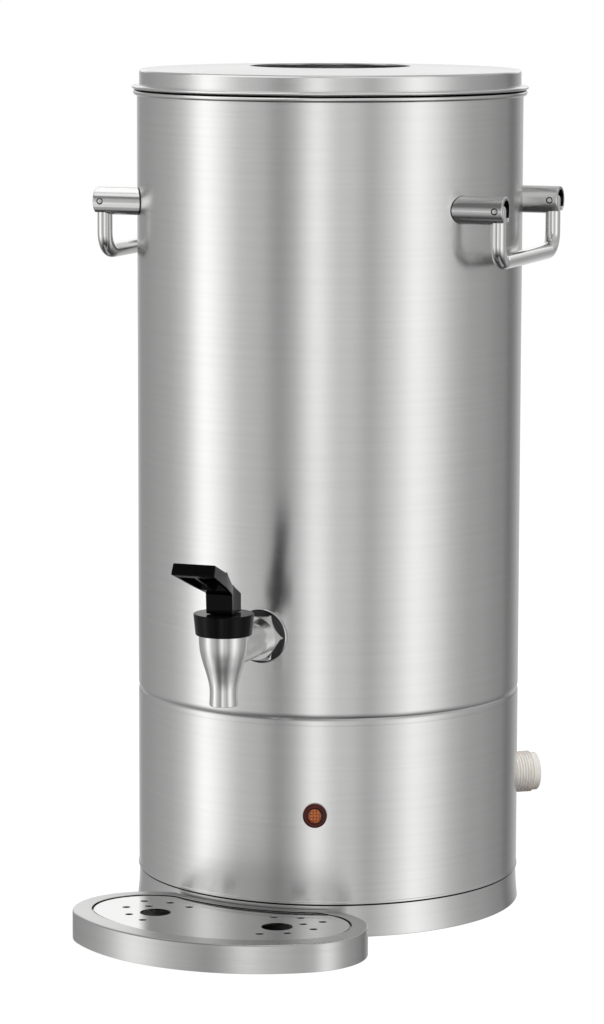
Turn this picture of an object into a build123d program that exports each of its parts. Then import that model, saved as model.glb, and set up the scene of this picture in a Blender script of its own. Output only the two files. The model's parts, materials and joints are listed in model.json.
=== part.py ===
from build123d import *

import math
import os

# Hot water urn, a steel tank on a skirt and plinth, with a self-closing tap,
# two folding bail handles, a lift-off lid and a separate drip tray.
# Millimetres. Origin: centre of the base on the floor. +Z up, tap towards -Y,
# handles on the +X and -X sides.

# ---------------------------------------------------------------- body
BODY_R = 120.0          # outside radius of tank and skirt
SHEET = 1.2             # stainless sheet
PLINTH_H = 19.3
PLINTH_FOOT_R = 120.8
PLINTH_TOP_R = 119.6
SEAM_Z = 135.3          # the tank's bottom lies on the skirt's top flange
RIM_Z = 510.2           # top of the tank's rolled rim
RIM_BEAD_R = 1.8
TANK_EDGE_R = 3.4       # outside bend round the tank's bottom
SKIRT_EDGE_R = 2.2      # outside bend into the skirt's top flange
INNER_R = BODY_R - SHEET
BASE_PLATE_T = 1.5
BASE_SCREW_R = 112.5    # pitch radius of the base plate's screws

# ---------------------------------------------------------------- lid
LID_R = 118.6
LID_T = 1.0
LID_EDGE_Z = 522.5      # flat edge of the lid's top
LID_RISE = 2.1          # how far the top rises to the filling hole
LID_HOLE_R = 50.0
LID_GAP = 0.3           # lid flange above the tank's rim
LID_BEAD_R = 1.1
LID_FLANGE_R = 123.2

# ---------------------------------------------------------------- handles
STUB_R = 8.6            # 3/8 inch pipe, 17.2 outside
STUB_BORE_R = 6.4
STUB_END_X = 133.0
STUB_Z = 441.3
HANDLE_HALF = 57.0      # half the distance between a handle's two stubs
PIN_X = 128.0
PIN_R = 1.55
BAIL_R = 4.65
BAIL_DROP = 31.6        # pin axis to the grip bar's centre
BAIL_BEND_R = 12.0
SLOT_W = 9.9
RUN_GAP = 0.07          # radial clearance of every pivot

# ---------------------------------------------------------------- tap
TAP_Y = -182.4
SPOUT_Z = 153.5
SPOUT_BORE_R = 6.3
SEAT_Z = 176.0          # valve seat at the top of the spout's bore
TAP_TOP_Z = 196.1       # shoulder under the bonnet
BONNET_TOP_Z = 208.9
SHANK_Z = 185.2         # axis of the arm and shank
SHANK_R = 9.9
ARM_R = 10.7
NUT_FRONT_Y = -131.0
WASHER_R = 16.8
WASHER_FRONT_Y = -122.2
NUT_FLATS = 27.0
NUT_CHAMFER = 1.6
STEM_R = 2.4
LEVER_PIN_Z = 218.0
LEVER_PIN_R = 1.5
LEVER_HALF = 8.0        # half width of the lever's foot
LEVER_GAP = 0.3         # lever foot above the bonnet
CUP_GAP = 0.3           # valve cup above its seat

# ---------------------------------------------------------------- lamp, inlet, gland
LAMP_ANGLE = 16.06      # turned from the tap, seen from above
LAMP_Z = 75.7
LAMP_R = 7.4
LAMP_BARREL_R = 6.0
LAMP_FACE_Y = -121.2     # front of the flange, at the tap's side
INLET_ANGLE = 126.0
INLET_Z = 70.9
THREAD_R = 13.22        # G 3/4 male thread, crest radius
THREAD_START = 121.0    # distances from the urn's axis
THREAD_END = 135.6
INLET_TIP = 139.6
MOUTH_R = 9.8           # recess at the stub's mouth for the hose's sealing cone
MOUTH_DEPTH = 7.6
STRAINER_R = 9.2
GLAND_Z = 46.0
GLAND_BORE_R = 4.5
GLAND_THREAD_R = 10.0
GLAND_FLATS = 26.0

# ---------------------------------------------------------------- lever outlines
# side view, as (y, z)
LEVER_SIDE = [(-190.0, 209.2), (-174.2, 209.2), (-174.2, 220.3), (-187.5, 226.3), (-205.5, 237.0),
              (-229.5, 245.0), (-232.5, 238.5), (-190.6, 221.6)]
# half of the plan, as (x, y)
LEVER_PLAN = [(0, -172), (LEVER_HALF, -172), (LEVER_HALF, -187.5), (11.0, -205.5), (13.7, -234),
              (0, -234)]
LEVER_WALL = 1.8        # of the hollow paddle
# slot for the stem, closed in front by a wall that thins downwards to clear it
LEVER_SLOT = [(-189.55, 208.0), (-188.0, 221.3), (-178.6, 221.3), (-178.6, 208.0)]
LEVER_RIM_R = 0.9

# ---------------------------------------------------------------- heating and control
HOSE_S = 46.0           # the rising hose's distance from the urn's axis
HOSE_BEND = 22.0
FITTING_XY = (HOSE_S * math.sin(math.radians(INLET_ANGLE)),
              -HOSE_S * math.cos(math.radians(INLET_ANGLE)))
ELEMENT_R = 75.0
ELEMENT_TUBE_R = 4.0
ELEMENT_Z = 160.0
ELEMENT_BEND = 12.0
ELEMENT_HALF_GAP = 17.0     # degrees left open in the ring, each side
GAP_SIN = math.sin(math.radians(ELEMENT_HALF_GAP))
GAP_COS = math.cos(math.radians(ELEMENT_HALF_GAP))
LEG_X = ELEMENT_R * GAP_SIN - ELEMENT_BEND * GAP_COS
LEG_Y = ELEMENT_R * GAP_COS + ELEMENT_BEND * GAP_SIN
PROBE_XY = (-72.0, 50.0)
PROBE_R = 6.0
BOTTOM_HOLES = [(LEG_X, LEG_Y, ELEMENT_TUBE_R), (-LEG_X, LEG_Y, ELEMENT_TUBE_R),
                (*PROBE_XY, PROBE_R), (*FITTING_XY, 5.0)]

# ---------------------------------------------------------------- tray
TRAY_TURN = -5.2        # the tray as it stands is turned about the urn
TRAY_H = 17.5
TRAY_SHEET = 1.2
# plan outlines: round ends' centre x and y, their radius, front y, back radius
TRAY_PLAN = (49.5, -155.0, 45.0, -218.5, 121.5)
RECESS_PLAN = (49.0, -152.8, 34.8, -205.5, 127.2)
PLATE_T = 1.0
PLATE_TOP_Z = 16.9
PLATE_GAP = 0.9
LEDGE = 3.2             # width of the ledge under the plate's edge
FINGER_HOLE_R = 9.4
DRAIN_HOLE_R = 2.45
FINGER_HOLE = (41.0, -159.5)
DRAIN_HOLES = [(28.8, -138.2), (44.3, -133.4), (60.5, -136.5), (52.2, -146.6),
               (63.2, -155.2), (53.2, -170.5), (39.2, -179.4)]


# ---------------------------------------------------------------- helpers
def profile(points, rounds=()):
    """Closed outline in radius and height, with some corners rounded."""
    face = make_face(Polyline(*points, close=True))
    for corner, radius in rounds:
        nearest = face.vertices().sort_by_distance((*corner, 0))[0]
        face = fillet(nearest, radius)
    return face


def spun(face):
    """The profile turned about Z."""
    return revolve(Plane.XZ * face, Axis.Z)


def rod(radius, start, end):
    """Round bar between two points."""
    a, b = Vector(*start), Vector(*end)
    plane = Plane(origin=a, z_dir=b - a)
    return extrude(plane * Circle(radius), (b - a).length)


def facing(angle, shape):
    """Turn what was built at the front, towards -Y, to its own side."""
    return Rot(0, 0, angle) * shape


def hexagon(flats, y0, y1, z, bore):
    """Hexagonal nut along Y with corners towards +X and -X, chamfered outside."""
    plane = Plane(origin=(0, y0, z), x_dir=(1, 0, 0), z_dir=(0, 1, 0))
    nut = extrude(plane * RegularPolygon(flats / 2, 6, major_radius=False), y1 - y0)
    corner = flats / math.sqrt(3)
    height = y1 - y0
    cone = profile([(0, 0), (flats / 2 - 0.4, 0), (corner, NUT_CHAMFER), (corner, height),
                    (0, height)])
    chamfer_body = plane * revolve(Plane.XZ * cone, Axis.Z)
    return (nut & chamfer_body) - rod(bore, (0, y0 - 1, z), (0, y1 + 1, z))


def hex_under(flats, top_z, height, bore, place):
    """Hexagonal nut that hangs under a plate at top_z."""
    nut = extrude(RegularPolygon(flats / 2, 6, major_radius=False), height)
    nut = nut - Pos(0, 0, -1) * extrude(Circle(bore), height + 2)
    return Pos(place[0], place[1], top_z - height) * nut


# ---------------------------------------------------------------- body parts
def tank_shell():
    """Drawn vessel with a rolled rim, open at the top."""
    bead_z = RIM_Z - RIM_BEAD_R
    bead = Pos(INNER_R + RIM_BEAD_R, bead_z) * Circle(RIM_BEAD_R)
    wall = profile(
        [(0, SEAM_Z), (BODY_R, SEAM_Z), (BODY_R, bead_z), (INNER_R, bead_z),
         (INNER_R, SEAM_Z + SHEET), (0, SEAM_Z + SHEET)],
        [((BODY_R, SEAM_Z), TANK_EDGE_R), ((INNER_R, SEAM_Z + SHEET), TANK_EDGE_R - SHEET)])
    shell = spun(wall + bead)
    shell -= rod(SHANK_R + 0.3, (0, -BODY_R - 5, SHANK_Z), (0, -BODY_R + 20, SHANK_Z))
    for x, y, radius in BOTTOM_HOLES:
        shell -= rod(radius, (x, y, SEAM_Z - 1), (x, y, SEAM_Z + 3))
    return shell


def base_skirt():
    """Lower shell round the electrics, flanged inwards under the tank."""
    flange_r = BODY_R - 16
    hem = 0.35
    wall = profile(
        [(INNER_R, PLINTH_H), (BODY_R - 0.6, PLINTH_H), (BODY_R - 0.6, PLINTH_H + 0.7),
         (BODY_R + hem, PLINTH_H + 0.7), (BODY_R + hem, PLINTH_H + 2.2),
         (BODY_R, PLINTH_H + 2.8), (BODY_R, SEAM_Z), (flange_r, SEAM_Z),
         (flange_r, SEAM_Z - SHEET), (INNER_R, SEAM_Z - SHEET)],
        [((BODY_R, SEAM_Z), SKIRT_EDGE_R), ((INNER_R, SEAM_Z - SHEET), SKIRT_EDGE_R - SHEET)])
    skirt = spun(wall)
    holes = [(LAMP_ANGLE, LAMP_BARREL_R + 0.2, LAMP_Z), (INLET_ANGLE, THREAD_R + 0.4, INLET_Z),
             (180, GLAND_THREAD_R + 0.2, GLAND_Z)]
    for angle, radius, z in holes:
        skirt -= facing(angle, rod(radius, (0, -BODY_R - 5, z), (0, -100, z)))
    return skirt


def plinth_ring():
    """Foot ring, hollow-sided outside, with a lip that centres the skirt."""
    lip_r = INNER_R - 0.3
    lip_in = lip_r - SHEET
    ledge_z = BASE_PLATE_T
    outside = ThreePointArc((PLINTH_FOOT_R, 0), (119.95, PLINTH_H / 2), (PLINTH_TOP_R, PLINTH_H))
    inside = Polyline(
        (PLINTH_TOP_R, PLINTH_H), (lip_r, PLINTH_H), (lip_r, PLINTH_H + 8), (lip_in, PLINTH_H + 8),
        (lip_in, ledge_z + 2), (lip_in - 10, ledge_z + 2), (lip_in - 10, ledge_z),
        (lip_r, ledge_z), (lip_r, 0), (PLINTH_FOOT_R, 0))
    ring = spun(make_face([*outside.edges(), *inside.edges()]))
    for x, y in base_screw_places():
        ring -= rod(1.9, (x, y, ledge_z - 1), (x, y, ledge_z + 3))
    return ring


def base_screw_places():
    return [(BASE_SCREW_R * math.cos(math.radians(a)), BASE_SCREW_R * math.sin(math.radians(a)))
            for a in (45, 135, 225, 315)]


def base_screw(x, y):
    head = profile([(0, 0.1), (3.6, 0.1), (1.9, BASE_PLATE_T), (1.9, 8), (1.5, 8.6), (0, 8.6)])
    return Pos(x, y, 0) * spun(head)


def base_plate():
    """Closing plate, flush with the plinth's foot."""
    plate = extrude(Circle(INNER_R - 0.5), BASE_PLATE_T)
    for x, y in base_screw_places():
        plate -= base_screw(x, y)
    return plate


def lid():
    """Pressed cover with a rolled flange, a locating skirt and a filling hole."""
    hole_z = LID_EDGE_Z + LID_RISE
    bead_z = RIM_Z + LID_GAP + LID_BEAD_R
    under = 0.45
    inside = LID_R - LID_T
    spigot_z = RIM_Z - 8
    sheet = profile(
        [(LID_HOLE_R, hole_z), (LID_R, LID_EDGE_Z), (LID_R, bead_z + under),
         (LID_FLANGE_R - LID_BEAD_R, bead_z + under), (LID_FLANGE_R - LID_BEAD_R, bead_z - under),
         (inside, bead_z - under), (inside, spigot_z), (inside - LID_T, spigot_z),
         (inside - LID_T, bead_z + 1), (inside, bead_z + 1), (inside, LID_EDGE_Z - LID_T),
         (LID_HOLE_R, hole_z - LID_T)],
        [((LID_R, LID_EDGE_Z), 1.7), ((LID_R, bead_z + under), 0.8)])
    bead = Pos(LID_FLANGE_R - LID_BEAD_R, bead_z) * Circle(LID_BEAD_R)
    return spun(sheet + bead)


# ---------------------------------------------------------------- handles
def handle_stub(side, hand):
    """Pipe welded to the tank, slotted underneath for the bail's leg."""
    length = STUB_END_X - 80
    pipe = spun(profile([(STUB_BORE_R, 0), (STUB_R, 0), (STUB_R, length - 0.9),
                         (STUB_R - 0.9, length), (STUB_BORE_R, length)]))
    pipe = Pos(80, 0, 0) * Rot(0, 90, 0) * pipe
    slot_x = PIN_X - 0.4
    pipe -= Pos(slot_x + 5, 0, -5) * Box(10, SLOT_W, 10)
    pipe -= rod(SLOT_W / 2, (slot_x, 0, -10), (slot_x, 0, 0))
    pipe -= rod(PIN_R, (PIN_X, -10, 0), (PIN_X, 10, 0))
    pipe = Pos(0, hand * HANDLE_HALF, STUB_Z) * pipe
    pipe -= Pos(0, 0, STUB_Z) * Cylinder(BODY_R, 40)
    return pipe if side > 0 else mirror(pipe, Plane.YZ)


def bail(side):
    """Bent grip bar whose ends turn on the pins."""
    x = side * PIN_X
    top, low = STUB_Z, STUB_Z - BAIL_DROP
    path = FilletPolyline((x, HANDLE_HALF, top), (x, HANDLE_HALF, low), (x, -HANDLE_HALF, low),
                          (x, -HANDLE_HALF, top), radius=BAIL_BEND_R)
    bar = sweep(Plane(origin=path @ 0, z_dir=path % 0) * Circle(BAIL_R), path)
    for y in (-HANDLE_HALF, HANDLE_HALF):
        bar += Pos(x, y, top) * Sphere(BAIL_R)
        bar -= rod(PIN_R + RUN_GAP, (x, y - 8, top), (x, y + 8, top))
    return bar


def handle_pin(side, hand):
    y = hand * HANDLE_HALF
    return rod(PIN_R, (side * PIN_X, y - STUB_R, STUB_Z), (side * PIN_X, y + STUB_R, STUB_Z))


# ---------------------------------------------------------------- tap
def tap_body():
    """Cast cone with spout, valve chamber, arm and threaded shank."""
    swell = Spline((8.6, SPOUT_Z), (8.3, 161.2), (8.8, 166.5), (10.4, 172.8), (12.6, 180.0),
                   (14.3, 187.3), (14.9, TAP_TOP_Z), tangents=[(-0.1, 1), (0.02, 1)])
    rest = Polyline((14.9, TAP_TOP_Z), (13.2, TAP_TOP_Z), (13.2, 203.5), (0, 203.5), (0, SPOUT_Z),
                    (8.6, SPOUT_Z))
    cone = Pos(0, TAP_Y, 0) * spun(make_face([*swell.edges(), *rest.edges()]))
    arm = rod(ARM_R, (0, TAP_Y + 4, SHANK_Z), (0, NUT_FRONT_Y, SHANK_Z))
    shank = rod(SHANK_R, (0, NUT_FRONT_Y - 1, SHANK_Z), (0, -104, SHANK_Z))
    chamber = profile([(0, SPOUT_Z - 1), (SPOUT_BORE_R, SPOUT_Z - 1), (SPOUT_BORE_R, SEAT_Z),
                       (7.4, SEAT_Z), (11.8, 188), (11.8, 204), (0, 204)])
    channel = rod(6, (0, TAP_Y, SHANK_Z), (0, -100, SHANK_Z))
    return cone + arm + shank - Pos(0, TAP_Y, 0) * spun(chamber) - channel


def tap_washer():
    """Sealing washer outside, shaped to the tank."""
    washer = rod(WASHER_R, (0, WASHER_FRONT_Y, SHANK_Z), (0, -112, SHANK_Z))
    washer -= Pos(0, 0, SHANK_Z) * Cylinder(BODY_R, 60)
    return washer - rod(SHANK_R, (0, -130, SHANK_Z), (0, -100, SHANK_Z))


def tap_seal():
    """Sealing washer inside the tank."""
    seal = rod(15, (0, -119, SHANK_Z), (0, -115.5, SHANK_Z))
    seal &= Pos(0, 0, SHANK_Z) * Cylinder(INNER_R, 60)
    return seal - rod(SHANK_R, (0, -130, SHANK_Z), (0, -100, SHANK_Z))


def tap_bonnet():
    """Screw cap that closes the valve chamber and guides the stem."""
    cap = profile(
        [(13.3, TAP_TOP_Z), (16.75, TAP_TOP_Z), (18.05, BONNET_TOP_Z),
         (STEM_R + RUN_GAP, BONNET_TOP_Z), (STEM_R + RUN_GAP, 203.6), (13.3, 203.6)],
        [((16.75, TAP_TOP_Z), 0.8), ((18.05, BONNET_TOP_Z), 0.7)])
    return Pos(0, TAP_Y, 0) * spun(cap)


def valve_stem():
    foot = 182.0
    shape = profile([(0, foot), (5.2, foot), (5.2, foot + 1.6), (STEM_R, foot + 1.6), (STEM_R, 219.9),
                     (STEM_R - 0.6, 220.5), (0, 220.5)])
    stem = Pos(0, TAP_Y, 0) * spun(shape)
    return stem - rod(LEVER_PIN_R, (-5, TAP_Y, LEVER_PIN_Z), (5, TAP_Y, LEVER_PIN_Z))


def lever_pin():
    return rod(LEVER_PIN_R, (-7.4, TAP_Y, LEVER_PIN_Z), (7.4, TAP_Y, LEVER_PIN_Z))


def seat_cup():
    """Silicone cup that closes the spout."""
    foot = SEAT_Z + CUP_GAP
    cup = profile([(0, foot + 1.2), (4.5, foot + 1.2), (5.4, foot), (7.2, foot), (7.2, 180.6),
                   (5.8, 182.0), (0, 182.0)])
    return Pos(0, TAP_Y, 0) * spun(cup)


def valve_spring():
    wire = 0.5
    low, high = 183.6 + wire + 0.05, 203.6 - wire - 0.05
    coil = Helix(pitch=(high - low) / 5, height=high - low, radius=4.1)
    start = Plane(origin=coil @ 0, z_dir=coil % 0)
    return Pos(0, TAP_Y, low) * sweep(start * Circle(wire), coil, is_frenet=True)


def prism_yz(points, half):
    """Side outline extruded across X."""
    outline = Polyline(*[(0, y, z) for y, z in points], close=True)
    return extrude(make_face(outline), half, dir=(1, 0, 0), both=True)


def prism_plan(points, low, high):
    """Half plan mirrored in X and extruded in Z."""
    left = [(-x, y) for x, y in reversed(points) if x > 0]
    outline = Polyline(*[(x, y, low) for x, y in [*points, *left]], close=True)
    return extrude(make_face(outline), high - low, dir=(0, 0, 1))


def tap_lever():
    """Forked foot on the bonnet and a hollow paddle that rises forwards."""
    body = prism_yz(LEVER_SIDE, 14) & prism_plan(LEVER_PLAN, 200, 250)
    rim = [e for e in body.edges() if e.center().Z > 236]
    body = fillet(rim, LEVER_RIM_R)
    under = [(-227.2, 241.5), (-205.8, 234.4), (-198.5, 230.0), (-198.5, 210), (-227.2, 210)]
    plan = [(0, -196), (9.8 - LEVER_WALL, -196), (11.0 - LEVER_WALL, -205.5),
            (13.0 - LEVER_WALL, -230), (0, -230)]
    hollow = prism_yz(under, 14) & prism_plan(plan, 200, 250)
    for hand in (1, -1):
        body -= hollow & Pos(hand * 10.8, -212, 228) * Box(20, 50, 50)
    body -= prism_yz(LEVER_SLOT, 2.8)
    return body - rod(LEVER_PIN_R + RUN_GAP, (-9, TAP_Y, LEVER_PIN_Z), (9, TAP_Y, LEVER_PIN_Z))


# ---------------------------------------------------------------- pilot lamp
def lamp_housing():
    barrel = rod(LAMP_BARREL_R, (0, LAMP_FACE_Y, LAMP_Z), (0, -98, LAMP_Z))
    flange = rod(LAMP_R, (0, LAMP_FACE_Y, LAMP_Z), (0, -117, LAMP_Z))
    flange -= Pos(0, 0, LAMP_Z) * Cylinder(BODY_R, 40)
    return facing(LAMP_ANGLE, barrel + flange)


def lamp_bezel():
    ring = profile([(4.9, 0), (LAMP_R, 0), (LAMP_R, 1.6), (4.9, 1.6)],
                   [((LAMP_R, 1.6), 0.9), ((4.9, 1.6), 0.5)])
    return facing(LAMP_ANGLE, Pos(0, LAMP_FACE_Y, LAMP_Z) * Rot(90, 0, 0) * spun(ring))


def lamp_lens():
    dome = profile([(0, 0), (4.3, 0), (4.3, 1.1), (3.2, 1.5), (1.6, 1.7), (0, 1.7)])
    return facing(LAMP_ANGLE, Pos(0, LAMP_FACE_Y, LAMP_Z) * Rot(90, 0, 0) * spun(dome))


def lamp_nut():
    inner = math.sqrt(INNER_R ** 2 - 9.3 ** 2) - 0.05
    return facing(LAMP_ANGLE, hexagon(16, -inner, -inner + 4.5, LAMP_Z, LAMP_BARREL_R))


# ---------------------------------------------------------------- water inlet
def inlet_valve():
    """Plastic solenoid valve: threaded stub outside, body and spigot inside."""
    flange_s = math.sqrt(INNER_R ** 2 - 17 ** 2) - 0.05
    stub = rod(THREAD_R, (0, -THREAD_END, INLET_Z), (0, -THREAD_START, INLET_Z))
    stub += rod(THREAD_R - 0.5, (0, -THREAD_START - 1, INLET_Z), (0, -105, INLET_Z))
    lead_length = INLET_TIP - THREAD_END
    lead = profile([(0, 0), (12.2, 0), (12.2, 3.2), (11.4, lead_length), (0, lead_length)])
    lead = Pos(0, -THREAD_END, INLET_Z) * Rot(90, 0, 0) * spun(lead)
    flange = rod(17, (0, -flange_s, INLET_Z), (0, -flange_s + 4, INLET_Z))
    block = Pos(0, -98, INLET_Z) * Box(30, 20, 30)
    spigot = rod(5, (0, -90, INLET_Z), (0, -72, INLET_Z))
    bore = rod(STRAINER_R, (0, -INLET_TIP - 1, INLET_Z), (0, -112, INLET_Z))
    bore += rod(MOUTH_R, (0, -INLET_TIP - 1, INLET_Z), (0, -INLET_TIP + MOUTH_DEPTH, INLET_Z))
    return facing(INLET_ANGLE, stub + lead + flange + block + spigot - bore)


def inlet_strainer():
    """Flanged cup pushed into the stub."""
    cup = profile([(7.0, 0), (STRAINER_R, 0), (STRAINER_R, 1.5), (8.2, 1.5), (7.4, 14), (0, 14),
                   (0, 12.8), (6.4, 12.8)])
    cup = Pos(0, MOUTH_DEPTH - INLET_TIP, INLET_Z) * Rot(-90, 0, 0) * spun(cup)
    return facing(INLET_ANGLE, cup)


def inlet_coil():
    coil = Pos(0, -98, INLET_Z + 31) * Box(26, 24, 32)
    return facing(INLET_ANGLE, fillet(coil.edges(), 1.5))


def inlet_hose():
    """Hose from the valve's spigot up to the tank."""
    path = FilletPolyline((0, -87.9, INLET_Z), (0, -HOSE_S, INLET_Z), (0, -HOSE_S, 122), radius=HOSE_BEND)
    start = Plane(origin=path @ 0, z_dir=path % 0)
    hose = sweep(start * (Circle(7.5) - Circle(5)), path)
    return facing(INLET_ANGLE, hose)


def inlet_fitting():
    """Spigot welded into the tank's bottom."""
    tube = rod(5, (0, -HOSE_S, 112), (0, -HOSE_S, SEAM_Z + SHEET))
    collar = rod(9, (0, -HOSE_S, SEAM_Z - 3), (0, -HOSE_S, SEAM_Z))
    hole = rod(3.8, (0, -HOSE_S, 100), (0, -HOSE_S, SEAM_Z + 5))
    return facing(INLET_ANGLE, tube + collar - hole)


# ---------------------------------------------------------------- heating and control
def heating_element():
    """Tubular heater: a ring above the tank's bottom with two legs through it."""
    section = Plane.XZ * (Pos(ELEMENT_R, ELEMENT_Z) * Circle(ELEMENT_TUBE_R))
    ring = revolve(section, Axis.Z, 360 - 2 * ELEMENT_HALF_GAP)
    ring = Rot(0, 0, 90 + ELEMENT_HALF_GAP) * ring
    element = ring
    for hand in (1, -1):
        turn = math.radians(ELEMENT_HALF_GAP)
        end = Vector(hand * ELEMENT_R * math.sin(turn), ELEMENT_R * math.cos(turn), ELEMENT_Z)
        along = Vector(-hand * math.cos(turn), math.sin(turn), 0)
        centre = end - Vector(0, 0, ELEMENT_BEND)
        hinge = Axis(centre, along.cross(Vector(0, 0, -1)))
        bend = revolve(Plane(origin=end, z_dir=along) * Circle(ELEMENT_TUBE_R), hinge, 90)
        leg_top = centre + along * ELEMENT_BEND
        element += bend + rod(ELEMENT_TUBE_R, tuple(leg_top), (leg_top.X, leg_top.Y, 116))
    return element


def level_probe():
    """Insulated holder with a long and a short electrode."""
    x, y = PROBE_XY
    holder = rod(PROBE_R, (x, y, 118), (x, y, SEAM_Z + 8))
    holder += rod(9, (x, y, SEAM_Z + SHEET), (x, y, SEAM_Z + 4))
    for offset, top in ((-3, 478), (3, 452)):
        holder += rod(1.5, (x + offset, y, SEAM_Z), (x + offset, y, top))
    return holder


def thermostat():
    """Capillary thermostat body on a foot screwed under the tank."""
    case = Pos(-46, -62, SEAM_Z - 15) * Box(38, 26, 24)
    foot = Pos(-46, -62, SEAM_Z - 1.5) * Box(50, 16, 3)
    return fillet(case.edges().filter_by(Axis.Z), 2) + foot


def boil_dry_cutout():
    """Snap disc pressed against the tank's bottom."""
    disc = spun(profile([(0, 0), (12, 0), (12, -2), (8.6, -2), (8.6, -10), (0, -10)]))
    return Pos(0, 40, SEAM_Z) * disc


def level_relay():
    case = Pos(-35, 5, BASE_PLATE_T + 16) * Box(72, 50, 32)
    return fillet(case.edges().filter_by(Axis.Z), 3)


def terminal_block():
    block = Pos(30, 74, BASE_PLATE_T + 9) * Box(44, 20, 18)
    for step in range(4):
        block -= rod(2, (30 - 16.5 + 11 * step, 74, 8), (30 - 16.5 + 11 * step, 74, 30))
    return block


def earth_stud():
    stud = rod(2.5, (34, -62, BASE_PLATE_T), (34, -62, 18))
    return stud + rod(5, (34, -62, BASE_PLATE_T), (34, -62, 3))


# ---------------------------------------------------------------- cable gland
def mains_gland():
    """Empty cable gland at the back of the skirt."""
    thread = rod(GLAND_THREAD_R, (0, -BODY_R - 4, GLAND_Z), (0, -104, GLAND_Z))
    hexes = hexagon(GLAND_FLATS, -BODY_R - 6, -BODY_R + 3, GLAND_Z, 4)
    hexes -= Pos(0, 0, GLAND_Z) * Cylinder(BODY_R, 60)
    dome = spun(profile([(0, 0), (12, 0), (12, 5), (8.5, 11), (6, 12), (0, 12)], [((12, 5), 1.5)]))
    dome = Pos(0, -BODY_R - 6, GLAND_Z) * Rot(90, 0, 0) * dome
    bore = rod(GLAND_BORE_R, (0, -BODY_R - 30, GLAND_Z), (0, -100, GLAND_Z))
    return facing(180, thread + hexes + dome - bore)


def gland_nut():
    inner = math.sqrt(INNER_R ** 2 - 15.1 ** 2) - 0.05
    return facing(180, hexagon(GLAND_FLATS, -inner, -inner + 5, GLAND_Z, GLAND_THREAD_R))


# ---------------------------------------------------------------- drip tray
def kidney(plan, inset, corner):
    """Plan outline that hugs the plinth: front arc, two round ends, back arc."""
    end_x, end_y, end_r, front_y, back_r = plan
    end_r, front_y, back_r = end_r - inset, front_y + inset, back_r + inset
    depth = end_y - front_y
    front_r = (depth ** 2 + end_x ** 2 - end_r ** 2) / (2 * (depth - end_r))
    front_c = front_y + front_r
    lean = math.atan2(end_y - front_c, end_x)
    joint = (front_r * math.cos(lean), front_c + front_r * math.sin(lean))
    reach = math.hypot(end_x, end_y)
    spread = math.acos((reach ** 2 + back_r ** 2 - end_r ** 2) / (2 * reach * back_r))
    horn_angle = math.atan2(end_y, end_x) + spread
    horn = (back_r * math.cos(horn_angle), back_r * math.sin(horn_angle))
    tip_angle = (lean + math.atan2(horn[1] - end_y, horn[0] - end_x)) / 2
    tip = (end_x + end_r * math.cos(tip_angle), end_y + end_r * math.sin(tip_angle))
    arcs = [ThreePointArc((-joint[0], joint[1]), (0, front_y), joint),
            ThreePointArc(joint, tip, horn),
            ThreePointArc(horn, (0, -back_r), (-horn[0], horn[1])),
            ThreePointArc((-horn[0], horn[1]), (-tip[0], tip[1]), (-joint[0], joint[1]))]
    outline = make_face([edge for arc in arcs for edge in arc.edges()])
    horns = [v for v in outline.vertices() if v.Y > end_y]
    return fillet(horns, corner)


def drip_tray():
    """Folded pan with a wide rim; the rim is hollow underneath."""
    seat_z = PLATE_TOP_Z - PLATE_T
    floor_z = 0.8
    outside = extrude(kidney(TRAY_PLAN, 0, 4), TRAY_H)
    outside = fillet(outside.edges().group_by(Axis.Z)[-1], 1.2)
    recess = Pos(0, 0, seat_z) * extrude(kidney(RECESS_PLAN, 0, 5), 5)
    pan = Pos(0, 0, floor_z + TRAY_SHEET) * extrude(kidney(RECESS_PLAN, LEDGE, 5), 30)
    hollow = extrude(kidney(TRAY_PLAN, TRAY_SHEET, 3), seat_z - TRAY_SHEET)
    core = extrude(kidney(RECESS_PLAN, LEDGE - TRAY_SHEET, 5), 30)
    under_floor = extrude(kidney(TRAY_PLAN, TRAY_SHEET, 3), floor_z)
    tray = outside - recess - pan - (hollow - core) - under_floor
    return facing(TRAY_TURN, tray)


def drip_plate():
    """Loose perforated plate, level with the tray's rim."""
    outline = kidney(RECESS_PLAN, PLATE_GAP, 4)
    for side in (-1, 1):
        outline -= Pos(side * FINGER_HOLE[0], FINGER_HOLE[1]) * Circle(FINGER_HOLE_R)
        for x, y in DRAIN_HOLES:
            outline -= Pos(side * x, y) * Circle(DRAIN_HOLE_R)
    plate = Pos(0, 0, PLATE_TOP_Z - PLATE_T) * extrude(outline, PLATE_T)
    return facing(TRAY_TURN, plate)


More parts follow.
